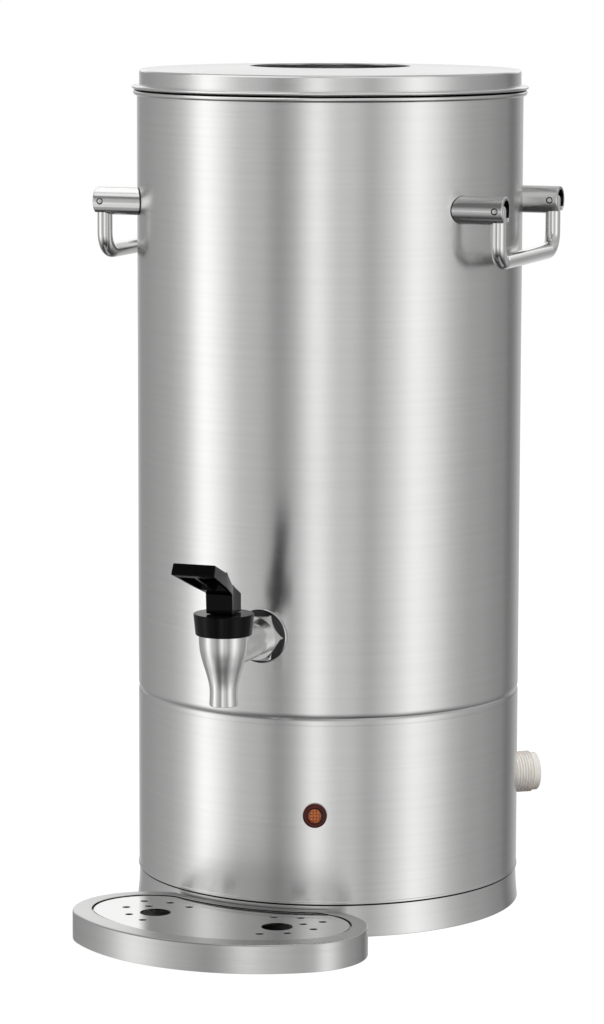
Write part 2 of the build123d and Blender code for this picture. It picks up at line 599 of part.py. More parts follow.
# ---------------------------------------------------------------- all parts
def all_parts():
    parts = {
        "tank_shell": tank_shell(),
        "base_skirt": base_skirt(),
        "plinth_ring": plinth_ring(),
        "base_plate": base_plate(),
        "base_screws": Compound(children=[base_screw(x, y) for x, y in base_screw_places()]),
        "lid": lid(),
        "tap_body": tap_body(),
        "tap_washer": tap_washer(),
        "tap_nut": hexagon(NUT_FLATS, NUT_FRONT_Y, WASHER_FRONT_Y, SHANK_Z, SHANK_R),
        "tap_seal": tap_seal(),
        "tap_lock_nut": mirror(hexagon(NUT_FLATS, 109, 115.5, SHANK_Z, SHANK_R), Plane.XZ),
        "tap_bonnet": tap_bonnet(),
        "valve_stem": valve_stem(),
        "lever_pin": lever_pin(),
        "seat_cup": seat_cup(),
        "valve_spring": valve_spring(),
        "tap_lever": tap_lever(),
        "lamp_housing": lamp_housing(),
        "lamp_bezel": lamp_bezel(),
        "lamp_lens": lamp_lens(),
        "lamp_nut": lamp_nut(),
        "inlet_valve": inlet_valve(),
        "inlet_strainer": inlet_strainer(),
        "inlet_coil": inlet_coil(),
        "inlet_hose": inlet_hose(),
        "inlet_fitting": inlet_fitting(),
        "heating_element": heating_element(),
        "level_probe": level_probe(),
        "thermostat": thermostat(),
        "boil_dry_cutout": boil_dry_cutout(),
        "level_relay": level_relay(),
        "terminal_block": terminal_block(),
        "earth_stud": earth_stud(),
        "mains_gland": mains_gland(),
        "gland_nut": gland_nut(),
        "drip_tray": drip_tray(),
        "drip_plate": drip_plate(),
    }
    sides = {"right": 1, "left": -1}
    hands = {"front": -1, "rear": 1}
    pins = []
    for side_name, side in sides.items():
        parts[f"bail_{side_name}"] = bail(side)
        for hand_name, hand in hands.items():
            parts[f"handle_stub_{side_name}_{hand_name}"] = handle_stub(side, hand)
            pins.append(handle_pin(side, hand))
    parts["handle_pins"] = Compound(children=pins)
    nuts = [hex_under(17, SEAM_Z, 8, ELEMENT_TUBE_R, (s * LEG_X, LEG_Y)) for s in (-1, 1)]
    parts["element_nuts"] = Compound(children=nuts)
    parts["probe_nut"] = hex_under(19, SEAM_Z, 6, PROBE_R, PROBE_XY)
    return parts


os.makedirs("parts", exist_ok=True)
for name, shape in all_parts().items():
    export_step(shape, f"parts/{name}.step")
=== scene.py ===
import json
import math

import bpy
from mathutils import Matrix, Vector


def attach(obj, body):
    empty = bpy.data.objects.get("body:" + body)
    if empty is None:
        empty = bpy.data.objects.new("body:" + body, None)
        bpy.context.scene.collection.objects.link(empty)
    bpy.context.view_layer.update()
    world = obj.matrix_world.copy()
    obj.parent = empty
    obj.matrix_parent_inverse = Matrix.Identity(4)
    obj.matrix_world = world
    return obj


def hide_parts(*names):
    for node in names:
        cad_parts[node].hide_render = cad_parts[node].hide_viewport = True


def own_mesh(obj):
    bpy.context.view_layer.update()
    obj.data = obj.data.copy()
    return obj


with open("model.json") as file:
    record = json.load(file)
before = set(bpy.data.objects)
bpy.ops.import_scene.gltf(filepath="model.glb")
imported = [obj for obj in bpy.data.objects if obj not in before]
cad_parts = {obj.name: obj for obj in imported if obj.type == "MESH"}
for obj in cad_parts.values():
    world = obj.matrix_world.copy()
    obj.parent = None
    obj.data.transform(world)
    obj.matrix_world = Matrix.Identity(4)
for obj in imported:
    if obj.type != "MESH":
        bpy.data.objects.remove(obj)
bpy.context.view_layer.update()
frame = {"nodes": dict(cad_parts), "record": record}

# Hot water urn. Sizes below are in millimetres, as the sheet metal worker and
# the turner would read them; MM turns them into the metres of the model.
MM = 0.001

# ---------------------------------------------------------------- sizes
BODY_R = 120.0
SHEET = 1.2
INNER_R = BODY_R - SHEET
SEAM_Z = 135.3
RIM_Z = 510.2
RIM_BEAD_R = 1.8
TANK_EDGE_R = 3.4
PLINTH_H = 19.3
LID_R = 118.6
LID_EDGE_Z = 522.5
LID_TOP_Z = 524.6
LID_BEAD = (122.1, 511.6, 1.1)
LID_HOLE_R = 50.0
STUB_R = 8.6
STUB_BORE_R = 6.4
STUB_END_X = 133.0
STUB_Z = 441.3
HANDLE_HALF = 57.0
PIN_X = 128.0
PIN_R = 1.5
BAIL_R = 4.65
BAIL_LOW_Z = 409.7
BAIL_BEND_R = 12.0
SLOT_W = 9.9
TAP_Y = -182.4
TAP_TOP_Z = 196.1
CHAMBER_TOP_Z = 203.6
ARM_Z = 185.2
ARM_R = 10.7
SHANK_R = 9.9
NUT_FRONT_Y = -131.0
WASHER_R = 16.8
WASHER_FRONT_Y = -122.2
BONNET_TOP_Z = 208.9
LEVER_PIN_Z = 218.0
LAMP_ANGLE = 16.06
LAMP_FACE = 121.2
LAMP_Z = 75.7
INLET_ANGLE = 126.0
INLET_HOLE_R = 13.55
INLET_Z = 70.9
GLAND_Z = 46.0
GLAND_BORE_R = 4.5
SCREW_RING_R = 112.5
TRAY_TURN = -5.2
TRAY_H = 17.5
PLATE_TOP_Z = 16.9
PLATE_T = 1.0


# ---------------------------------------------------------------- workbench
def put_away():
    """Nothing stays picked up."""
    if bpy.context.object and bpy.context.object.mode != "OBJECT":
        bpy.ops.object.mode_set(mode="OBJECT")
    bpy.ops.object.select_all(action="DESELECT")


def take(piece, mode="OBJECT"):
    """Picks up one piece alone."""
    put_away()
    piece.select_set(True)
    bpy.context.view_layer.objects.active = piece
    if mode == "EDIT":
        bpy.ops.object.mode_set(mode="EDIT")
    return piece


def named(name):
    piece = bpy.context.object
    piece.name = piece.data.name = name
    return piece


def scribe(name, start):
    """A new outline that starts as a single point, open for more."""
    put_away()
    bpy.ops.mesh.primitive_plane_add(size=2 * MM)
    piece = named(name)
    bpy.ops.object.mode_set(mode="EDIT")
    bpy.ops.mesh.select_all(action="SELECT")
    bpy.ops.mesh.merge(type="CENTER")
    bpy.ops.transform.translate(value=Vector(start) * MM)
    return piece


def line_on(step):
    """Draws the outline on by one straight step."""
    bpy.ops.mesh.extrude_vertices_move(TRANSFORM_OT_translate={"value": Vector(step) * MM})


def draw(name, points):
    """An outline through the points, left in edit mode with everything selected."""
    piece = scribe(name, points[0])
    for before, after in zip(points, points[1:]):
        line_on(Vector(after) - Vector(before))
    bpy.ops.mesh.select_all(action="SELECT")
    return piece


def true_up(piece, gap=0.002):
    """Merges doubled points, closes poles and turns every face outwards."""
    take(piece, "EDIT")
    bpy.ops.mesh.select_all(action="SELECT")
    bpy.ops.mesh.remove_doubles(threshold=gap * MM)
    bpy.ops.mesh.dissolve_degenerate(threshold=gap * MM)
    bpy.ops.mesh.normals_make_consistent(inside=False)
    put_away()
    return piece


def turned(name, outline, steps=96):
    """A lathe piece: radius and height points turned about Z. The outline is a
    closed ring, or runs from axis to axis."""
    points = [(r, 0, z) for r, z in outline]
    if outline[0][0] > 0:
        points.append(points[0])
    piece = draw(name, points)
    bpy.ops.mesh.spin(steps=steps, angle=math.tau, center=(0, 0, 0), axis=(0, 0, 1))
    return true_up(piece)


def set_down(piece, place=(0, 0, 0), turn=(0, 0, 0)):
    """Turns a piece about X, Y, Z in that order, moves it, and keeps it there."""
    take(piece)
    piece.rotation_euler = [math.radians(angle) for angle in turn]
    piece.location = Vector(place) * MM
    bpy.ops.object.transform_apply(location=True, rotation=True, scale=True)
    return piece


def facing(piece, angle, out, height):
    """A piece turned about Z is laid to look outwards, at its side of the urn."""
    side = math.radians(angle)
    place = (out * math.sin(side), -out * math.cos(side), height)
    return set_down(piece, place, (90, 0, angle))


def rounded(corners, steps=6):
    """Outline points of a closed outline whose corners are (a, b, radius)."""
    points = []
    for here, (a, b, radius) in enumerate(corners):
        corner = Vector((a, b))
        if not radius:
            points.append((a, b))
            continue
        back = (Vector(corners[here - 1][:2]) - corner).normalized()
        on = (Vector(corners[(here + 1) % len(corners)][:2]) - corner).normalized()
        half = back.angle(on) / 2
        centre = corner + (back + on).normalized() * radius / math.sin(half)
        spoke = corner + back * radius / math.tan(half) - centre
        sweep = (math.pi - 2 * half) * (1 if back.x * on.y - back.y * on.x < 0 else -1)
        for step in range(steps + 1):
            turn = sweep * step / steps
            points.append((centre.x + spoke.x * math.cos(turn) - spoke.y * math.sin(turn),
                           centre.y + spoke.x * math.sin(turn) + spoke.y * math.cos(turn)))
    return points


def bow(centre, radius, first, last, steps=16):
    """Points of an arc, angles in degrees."""
    angles = [math.radians(first + (last - first) * k / steps) for k in range(steps + 1)]
    return [(centre[0] + radius * math.cos(a), centre[1] + radius * math.sin(a)) for a in angles]


def block(name, low, high):
    """Squared-up stock between two corners, for cutting with or from."""
    put_away()
    low, high = Vector(low) * MM, Vector(high) * MM
    bpy.ops.mesh.primitive_cube_add(size=1, location=(low + high) / 2)
    piece = named(name)
    piece.scale = high - low
    bpy.ops.object.transform_apply(location=True, rotation=True, scale=True)
    return piece


def bar(name, radius, length, steps=64, edge=0.0):
    """Round stock along Z from the origin, its ends eased."""
    ends = [(radius, 0, edge), (radius, length, edge)]
    corners = rounded([(0, 0, 0), *ends, (0, length, 0)], 3)
    return turned(name, corners, steps)


def plate_stock(name, points, height, axis="z"):
    """A flat outline made solid: level ones rise, upright ones grow both ways in X."""
    if axis == "z":
        piece = draw(name, [(a, b, 0) for a, b in points])
        rise = Vector((0, 0, height))
    else:
        piece = draw(name, [(-height / 2, a, b) for a, b in points])
        rise = Vector((height, 0, 0))
    bpy.ops.mesh.edge_face_add()
    bpy.ops.mesh.extrude_region_move(TRANSFORM_OT_translate={"value": rise * MM})
    put_away()
    return true_up(piece)


def fit(piece, kind, **settings):
    """Adds one modifier to a piece and applies it."""
    take(piece)
    bpy.ops.object.modifier_add(type=kind)
    step = piece.modifiers[-1]
    for key, value in settings.items():
        setattr(step, key, value)
    bpy.ops.object.modifier_apply(modifier=step.name)
    return piece


def worked(piece, operation, *tools):
    """Cuts, joins or trims a piece with others, which are used up."""
    for tool in tools:
        fit(piece, "BOOLEAN", operation=operation, solver="EXACT", object=tool)
        bpy.data.objects.remove(tool)
    return piece


def cut(piece, *tools):
    return worked(piece, "DIFFERENCE", *tools)


def joined(piece, *tools):
    return worked(piece, "UNION", *tools)


def trimmed(piece, *tools):
    return worked(piece, "INTERSECT", *tools)


def eased(piece, width, segments=2, angle=35):
    """Breaks the sharp edges, which then catch the light."""
    return fit(piece, "BEVEL", width=width * MM, segments=segments, limit_method="ANGLE",
               angle_limit=math.radians(angle), miter_outer="MITER_ARC")


def twin(piece, name):
    """A copy with a mesh of its own."""
    take(piece)
    bpy.ops.object.duplicate(linked=False)
    return named(name)


def fitted(piece, body, finish, *nodes, smooth=32, slot=None):
    """The finished piece goes on the urn."""
    take(piece)
    bpy.ops.object.shade_smooth_by_angle(angle=math.radians(smooth))
    fit(piece, "WEIGHTED_NORMAL", keep_sharp=True, weight=60)
    piece.data.materials.clear()
    piece.data.materials.append(finishes[finish])
    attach(piece, body)
    if nodes:
        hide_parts(*nodes)
    return piece


# ---------------------------------------------------------------- finishes
class Signal:
    """A value on its way to a finish, on which plain arithmetic works."""

    def __init__(self, bench, socket):
        self.bench = bench
        self.socket = socket

    def maths(self, operation, first, second=0.0):
        return self.bench.node("Math", {"operation": operation}, {0: first, 1: second})

    def __add__(self, other):
        return self.maths("ADD", self, other)

    def __radd__(self, other):
        return self.maths("ADD", other, self)

    def __sub__(self, other):
        return self.maths("SUBTRACT", self, other)

    def __rsub__(self, other):
        return self.maths("SUBTRACT", other, self)

    def __mul__(self, other):
        return self.maths("MULTIPLY", self, other)

    def __rmul__(self, other):
        return self.maths("MULTIPLY", other, self)

    def __truediv__(self, other):
        return self.maths("DIVIDE", self, other)

    def __pow__(self, other):
        return self.maths("POWER", self, other)

    def __abs__(self):
        return self.maths("ABSOLUTE", self)

    def held(self, low, high):
        """Kept between 0 and 1 as the value goes from low to high, with soft ends."""
        return self.bench.node("MapRange", {"interpolation_type": "SMOOTHSTEP"},
                               {"Value": self, "From Min": low, "From Max": high})


class Bench:
    """A node tree and the one way nodes are put in it."""

    def __init__(self, tree):
        self.tree = tree
        tree.nodes.clear()

    def node(self, kind, settings=None, sockets=None, output=0):
        settings = dict(settings or {})
        prefix = "" if kind.startswith("ShaderNode") else "ShaderNode"
        made = self.tree.nodes.new(prefix + kind)
        stops = settings.pop("stops", None)
        for key, value in settings.items():
            setattr(made, key, value)
        if stops:
            ramp = made.color_ramp
            while len(ramp.elements) < len(stops):
                ramp.elements.new(0.5)
            for element, (place, tone) in zip(ramp.elements, stops):
                element.position = place
                element.color = (*tone, 1) if hasattr(tone, "__len__") else (tone,) * 3 + (1,)
        for key, value in (sockets or {}).items():
            if isinstance(value, Signal):
                self.tree.links.new(value.socket, made.inputs[key])
            else:
                made.inputs[key].default_value = value
        return Signal(self, made.outputs[output] if made.outputs else None)

    def vector(self, operation, first, second):
        output = 1 if operation == "DOT_PRODUCT" else 0
        return self.node("VectorMath", {"operation": operation}, {0: first, 1: second}, output)

    def blend(self, factor, first, second):
        """One colour turning into another."""
        first, second = (tone if isinstance(tone, Signal) else (*tone, 1)
                         for tone in (first, second))
        return self.node("Mix", {"data_type": "RGBA"}, {0: factor, 6: first, 7: second}, 2)


finishes = {}


class Finish(Bench):
    """A surface finish, kept in the table under its record name."""

    def __init__(self, name):
        self.material = bpy.data.materials.new(name + "_finish")
        self.material.use_nodes = True
        finishes[name] = self.material
        super().__init__(self.material.node_tree)
        self.place = self.node("TexCoord", output="Object")
        self.facing = self.node("TexCoord", output="Normal")

    def noise(self, scale, detail=2.0, roughness=0.5, offset=0.0, output=0):
        """Noise with its own scale along X, Y and Z, per metre."""
        stretched = self.vector("MULTIPLY", self.place, scale)
        if offset:
            stretched = self.vector("ADD", stretched, (offset, offset, offset))
        return self.node("TexNoise", {}, {"Vector": stretched, "Scale": 1.0, "Detail": detail,
                                          "Roughness": roughness}, output)

    def between(self, measure, low, high, soft=0.1):
        """1 where a radius about the urn's middle, or a height, lies in a range."""
        x, y, z = (self.node("SeparateXYZ", {}, {0: self.place}, k) for k in range(3))
        value = z if measure == "height" else (x ** 2 + y ** 2) ** 0.5
        first = value.held((low - soft) * MM, (low + soft) * MM)
        return first * (1 - value.held((high - soft) * MM, (high + soft) * MM))

    def done(self, tone, roughness, height=None, lift=0.0, **settings):
        """Joins up the shader; lift is the height of the relief in millimetres."""
        sockets = {"Base Color": tone if isinstance(tone, Signal) else (*tone, 1),
                   "Roughness": roughness}
        for key, value in settings.items():
            sockets[key.replace("_", " ")] = value
        if height is not None:
            sockets["Normal"] = self.node("Bump", {}, {"Strength": 1.0, "Distance": lift * MM,
                                                       "Height": height})
        shader = self.node("BsdfPrincipled", {}, sockets)
        self.node("OutputMaterial", {}, {"Surface": shader})


# colour of the painted shade, blended in wherever a shade mask says
IN_SHADE = (0.02, 0.02, 0.02)
# painted shade in the urn's joints and the lid's inner rim: radius from and to, height from and to
PAINTED_SHADE_ZONES = [(100, 119.95, PLINTH_H - 0.1, PLINTH_H + 1.0), (100, 122.25, 509.3, 510.75),
               (100, 117.1, 500, 520.5)]


def grained_steel(name, tone, roughness, fine, coarse, flat=None, lift=0.006, mottle=0.05,
                  anisotropy=0.0, rotation=0.0, shade=None):
    """Stainless sheet brushed one way. fine and coarse are the grain's scales
    along X, Y and Z; flat is the fine grain's scale on level faces."""
    steel = Finish(name)
    hairs = steel.noise(fine, 3.0, 0.6)
    bands = steel.noise(coarse, 2.0, 0.5, 7.3)
    if flat:
        level = abs(steel.node("SeparateXYZ", {}, {0: steel.facing}, 2)).held(0.6, 0.8)
        top_hairs = steel.noise(flat, 3.0, 0.6, 3.1)
        hairs = hairs * (1 - level) + top_hairs * level
    handling = steel.noise((9, 9, 9), 3.0, 0.55, 21.0)
    streaks = (hairs - 0.5) * 0.6 + (bands - 0.5)
    darker = [value * (1 - mottle) for value in tone]
    lighter = [value * (1 + mottle) for value in tone]
    colour = steel.blend((0.5 + streaks).held(0.0, 1.0), darker, lighter)
    # painted shade from the shade mask darkens the colour
    if shade:
        colour = steel.blend(shade(steel), colour, IN_SHADE)
    rough = roughness + (hairs - 0.5) * roughness * 0.35 + (handling - 0.5) * roughness * 0.3
    steel.done(colour, rough, hairs, lift, Metallic=1.0, Anisotropic=anisotropy,
               Anisotropic_Rotation=rotation)


def joint_shade(steel):
    """Painted shade down in the joints round the urn and in the lid's inner rim."""
    total = 0
    for near, far, low, high in PAINTED_SHADE_ZONES:
        total = total + steel.between("radius", near, far) * steel.between("height", low, high)
    return total


def stub_shade(steel):
    """Painted shade inside a handle's pipe, round its pin and along its root at the tank."""
    x, y, z = (steel.node("SeparateXYZ", {}, {0: steel.place}, k) for k in range(3))
    height = z - STUB_Z * MM
    from_axis = ((abs(y) - HANDLE_HALF * MM) ** 2 + height ** 2) ** 0.5
    from_pin = ((abs(x) - PIN_X * MM) ** 2 + height ** 2) ** 0.5
    bore = 1 - from_axis.held(6.5 * MM, 6.7 * MM)
    ring = from_pin.held(1.4 * MM, 1.6 * MM) * (1 - from_pin.held(2.0 * MM, 2.2 * MM))
    root = steel.between("radius", 0, BODY_R + 0.6)
    return (bore + ring + root).held(0.0, 1.0)


def recess_shade(steel):
    """Painted shade in the gap round the drip plate, on the faces that make_tray marks."""
    return steel.node("Attribute", {"attribute_name": "gap"}, output="Fac")


def moulded(name, tone, roughness, grain=0.01, speck=0.15, **settings):
    """Moulded plastic or rubber with a fine skin, faint flow and handling marks."""
    skin = Finish(name)
    fine = skin.noise((1800, 1800, 1800), 2.0, 0.6)
    flow = skin.noise((60, 60, 45), 3.0, 0.5, 5.0)
    wear = skin.noise((220, 220, 220), 4.0, 0.7, 11.0)
    darker = [value * (1 - speck) for value in tone]
    lighter = [min(1, value * (1 + speck)) for value in tone]
    colour = skin.blend(flow.held(0.3, 0.7), darker, lighter)
    rough = roughness * (0.85 + 0.3 * wear)
    skin.done(colour, rough, fine, grain, **settings)


def waffle_lens():
    """Amber lens with a square grid moulded behind its face."""
    grid = 1.9
    glow = Finish("lamp_amber")
    side = math.radians(LAMP_ANGLE)
    across = glow.vector("DOT_PRODUCT", glow.place, (math.cos(side), math.sin(side), 0))
    up = glow.node("SeparateXYZ", {}, {0: glow.place}, 2) - LAMP_Z * MM
    lines = []
    for ruler in (across, up):
        phase = ruler / (grid * MM) + 100.5
        lines.append(abs(glow.node("Math", {"operation": "FRACT"}, {0: phase}) - 0.5) * 2)
    wall = glow.node("Math", {"operation": "MAXIMUM"}, {0: lines[0], 1: lines[1]})
    cloud = glow.noise((400, 400, 400), 2.0, 0.5)
    lit = glow.blend(wall.held(0.6, 0.95), (0.62, 0.13, 0.02), (0.3, 0.045, 0.006))
    colour = glow.blend(cloud.held(0.3, 0.8) * 0.3, lit, (0.75, 0.27, 0.06))
    # painted dark reflection on the lens's steep sides
    around = (across ** 2 + (up * 0.8) ** 2) ** 0.5
    colour = glow.blend(around.held(3.55 * MM, 4.0 * MM), colour, (0.01, 0.004, 0.003))
    glow.done(colour, 0.2 + 0.06 * cloud, 1 - wall, 0.08, Coat_Weight=0.3,
              Coat_Roughness=0.08, Subsurface_Weight=0.1)


def shaded_steel():
    """Polished dished washer, with painted shade in its dish and bright along its outer edge."""
    steel = Finish("shaded_steel")
    x, z = (steel.node("SeparateXYZ", {}, {0: steel.place}, k) for k in (0, 2))
    reach = (x ** 2 + (z - ARM_Z * MM) ** 2) ** 0.5
    rim = reach.held(16.05 * MM, 16.35 * MM)
    fine = steel.noise((900, 900, 900), 2.0)
    tone = steel.blend(rim, (0.05, 0.05, 0.052), (0.6, 0.6, 0.6))
    steel.done(tone, 0.14 + fine * 0.06, fine, 0.0004, Metallic=1.0)


grained_steel(
    "body_steel", (0.70, 0.70, 0.695), 0.24, (30, 30, 1500), (9, 9, 420),
    flat=(26, 1400, 26), lift=0.0025, mottle=0.025, anisotropy=0.55, rotation=0.25,
    shade=joint_shade)
grained_steel(
    "satin_steel", (0.70, 0.70, 0.695), 0.2, (30, 800, 800), (10, 240, 240), lift=0.003,
    shade=stub_shade)
grained_steel(
    "tray_steel", (0.62, 0.62, 0.615), 0.3, (45, 45, 1500), (14, 14, 380),
    flat=(40, 1300, 40), lift=0.004, mottle=0.04, anisotropy=0.3, rotation=0.25,
    shade=recess_shade)
grained_steel(
    "drip_plate_steel", (0.72, 0.72, 0.715), 0.11, (30, 1500, 30), (8, 240, 8), lift=0.002,
    mottle=0.03)
grained_steel(
    "polished_steel", (0.76, 0.76, 0.755), 0.1, (300, 300, 300), (60, 60, 60), lift=0.001,
    mottle=0.02)
shaded_steel()
grained_steel(
    "base_plate_steel", (0.52, 0.52, 0.52), 0.42, (900, 25, 200), (120, 9, 50), lift=0.006,
    mottle=0.08)
grained_steel(
    "fitting_steel", (0.58, 0.58, 0.575), 0.34, (200, 200, 900), (60, 60, 200), lift=0.006,
    mottle=0.08)
grained_steel(
    "tap_steel", (0.72, 0.72, 0.715), 0.22, (1500, 1500, 60), (300, 300, 12), lift=0.0005,
    mottle=0.04, anisotropy=0.6, rotation=0.25)
grained_steel(
    "nut_brass", (0.66, 0.49, 0.22), 0.3, (700, 700, 700), (90, 90, 90), lift=0.006,
    mottle=0.1)
grained_steel(
    "stem_steel", (0.72, 0.72, 0.72), 0.2, (120, 120, 2400), (30, 30, 500), lift=0.003)
grained_steel(
    "probe_ceramic", (0.62, 0.62, 0.6), 0.3, (500, 500, 60), (90, 90, 12), lift=0.004)
moulded("black_gloss", (0.0025, 0.0025, 0.0028), 0.13, 0.002, 0.2,
        Specular_IOR_Level=0.12)
moulded("seal_rubber", (0.45, 0.1, 0.06), 0.5, 0.01, 0.12)
moulded("hose_rubber", (0.05, 0.05, 0.05), 0.6, 0.02, 0.2)
moulded("lamp_black", (0.02, 0.02, 0.02), 0.35, 0.006, 0.2)
moulded("lamp_red", (0.075, 0.007, 0.004), 0.2, 0.002, 0.25,
        Specular_IOR_Level=0.25)
waffle_lens()
moulded("nut_black", (0.03, 0.03, 0.03), 0.5, 0.012, 0.2)
moulded("inlet_white", (0.95, 0.865, 0.805), 0.4, 0.003, 0.03,
        Subsurface_Weight=0.15)
moulded("strainer_blue", (0.09, 0.19, 0.45), 0.4, 0.01, 0.12)
moulded("coil_black", (0.025, 0.025, 0.025), 0.5, 0.02, 0.25)
moulded("control_dark", (0.06, 0.05, 0.045), 0.45, 0.015, 0.25)
moulded("relay_case", (0.1, 0.1, 0.11), 0.5, 0.02, 0.12)
moulded("terminal_cream", (0.7, 0.66, 0.55), 0.42, 0.012, 0.06)
moulded("gland_black", (0.022, 0.022, 0.022), 0.42, 0.012, 0.25)
for row in frame["record"]["subparts"]:
    node = frame["nodes"][row["node"]]
    node.data.materials.clear()
    node.data.materials.append(finishes[row["material_slot"]])


# ---------------------------------------------------------------- body
def make_tank():
    x, z = BODY_R + 0.6, RIM_Z - RIM_BEAD_R
    wall = [(0, SEAM_Z), *bow((BODY_R - 8, SEAM_Z + 3.51), 8, -26, 0, 10), (BODY_R, z - 1.697)]
    bead = bow((x, z), RIM_BEAD_R, -109.47, 180, 22)
    lining = rounded([(INNER_R, z, 0), (INNER_R, SEAM_Z + SHEET, TANK_EDGE_R - SHEET),
                      (0, SEAM_Z + SHEET, 0)], 6)
    tank = turned("tank_shell_spun", wall[:-1] + bead[:-1] + lining, 256)
    fitted(tank, "urn", "body_steel", "tank_shell")


def make_skirt():
    low = PLINTH_H
    outline = rounded([
        (INNER_R, low, 0), (INNER_R + 0.15, low, 0), (INNER_R + 0.15, low + 0.9, 0),
        (BODY_R + 0.35, low + 0.9, 0.3), (BODY_R + 0.35, low + 2.2, 0.3), (BODY_R, low + 2.8, 0),
        (BODY_R, SEAM_Z - 5.0, 0), (BODY_R - 0.12, SEAM_Z - 4.8, 0),
        (BODY_R - 0.12, SEAM_Z - 4.5, 0), (BODY_R, SEAM_Z - 4.3, 0),
        *((r, z, 0) for r, z in bow((BODY_R - 5, SEAM_Z - 2.7), 5, 0, 32.7, 8)),
        (BODY_R - 16, SEAM_Z, 0),
        (BODY_R - 16, SEAM_Z - SHEET, 0), (INNER_R, SEAM_Z - SHEET, 1.0)], 8)
    skirt = turned("base_skirt_spun", outline, 256)
    hole = bar("inlet_hole", INLET_HOLE_R, 30)
    cut(skirt, facing(hole, INLET_ANGLE, 105, INLET_Z))
    fitted(skirt, "urn", "body_steel", "base_skirt")


def make_plinth():
    foot, waist, top = (120.8, 0.0), (119.95, PLINTH_H / 2), (119.6, PLINTH_H)
    side = []
    for step in range(13):
        z = PLINTH_H * step / 12
        weights = ((z - waist[1]) * (z - top[1]) / (waist[1] * top[1]),
                   z * (z - top[1]) / (waist[1] * (waist[1] - top[1])),
                   z * (z - waist[1]) / (top[1] * (top[1] - waist[1])))
        side.append((sum(w * r for w, r in zip(weights, (foot[0], waist[0], top[0]))), z))
    side[0] = (foot[0] - 0.15, 0)
    side.insert(1, (foot[0], 0.2))
    lip = INNER_R - 0.3
    inside = [(lip, PLINTH_H), (lip, PLINTH_H + 8), (lip - SHEET, PLINTH_H + 8),
              (lip - SHEET, 3.5), (lip - 11.2, 3.5), (lip - 11.2, 1.5), (lip, 1.5), (lip, 0)]
    plinth = turned("plinth_ring_spun", side + inside, 256)
    fitted(plinth, "urn", "body_steel", "plinth_ring")


def make_lid():
    x, z, r = LID_BEAD
    lean = math.degrees(math.asin(0.45 / r))
    inside = LID_R - 1.0
    neck = x - r * math.cos(math.radians(lean))
    top = rounded([(LID_HOLE_R, LID_TOP_Z - 1, 0), (LID_HOLE_R, LID_TOP_Z, 0.25),
                   (LID_R, LID_EDGE_Z, 1.7), (LID_R, z + 0.45, 0.8), (neck, z + 0.45, 0)], 7)
    bead = bow((x, z), r, 180 - lean, lean - 180, 18)
    under = [(inside, z - 0.45), (inside, RIM_Z - 8), (inside - 1, RIM_Z - 8), (inside - 1, z + 1),
             (inside, z + 1), (inside, LID_EDGE_Z - 1)]
    lid = turned("lid_spun", top[:-1] + bead + under, 256)
    fitted(lid, "lid", "body_steel", "lid")


# ---------------------------------------------------------------- handles
def make_handles():
    start = 99.0
    length = STUB_END_X - start
    outline = rounded([(STUB_BORE_R, 0, 0), (STUB_R, 0, 0), (STUB_R, length, 0.9),
                       (STUB_BORE_R, length, 0.5)], 5)
    pipe = set_down(turned("handle_pipe", outline, 96), (start, HANDLE_HALF, STUB_Z), (0, 90, 0))
    slot_x = PIN_X - 0.4
    half = SLOT_W / 2
    slot = block("pipe_slot", (slot_x, HANDLE_HALF - half, STUB_Z - 12),
                 (slot_x + 12, HANDLE_HALF + half, STUB_Z))
    slot_end = set_down(bar("pipe_slot_end", half, 12), (slot_x, HANDLE_HALF, STUB_Z - 12))
    pin_hole = set_down(bar("pin_hole", PIN_R + 0.3, 24, 32),
                        (PIN_X, HANDLE_HALF + 12, STUB_Z), (90, 0, 0))
    tank_side = set_down(bar("tank_side", BODY_R - 0.5, 60, 192), (0, 0, STUB_Z - 30))
    cut(pipe, slot, slot_end, pin_hole, tank_side)
    eased(pipe, 0.22, 2, 45)
    pin = turned("handle_pin", rounded([(0, 0, 0), (PIN_R, 0, 0.35), (PIN_R, 2 * STUB_R, 0.35),
                                        (0, 2 * STUB_R, 0)], 4), 32)
    set_down(pin, (PIN_X, HANDLE_HALF + STUB_R, STUB_Z), (90, 0, 0))
    pins = []
    for side, side_axis in (("right", ""), ("left", "x")):
        for hand, hand_axis in (("rear", ""), ("front", "y")):
            copies = [twin(pipe, f"handle_pipe_{side}_{hand}"),
                      twin(pin, f"handle_pin_{side}_{hand}")]
            for copy in copies:
                for axis in side_axis + hand_axis:
                    copy.scale = [-1 if k == axis else 1 for k in "xyz"]
                    set_down(copy)
                true_up(copy, 0.0005)
            fitted(copies[0], "urn", "satin_steel", f"handle_stub_{side}_{hand}")
            pins.append(copies[1])
    for pin_copy in pins:
        fitted(pin_copy, "urn", "polished_steel", "handle_pins")
    for pattern in (pipe, pin):
        bpy.data.objects.remove(pattern)


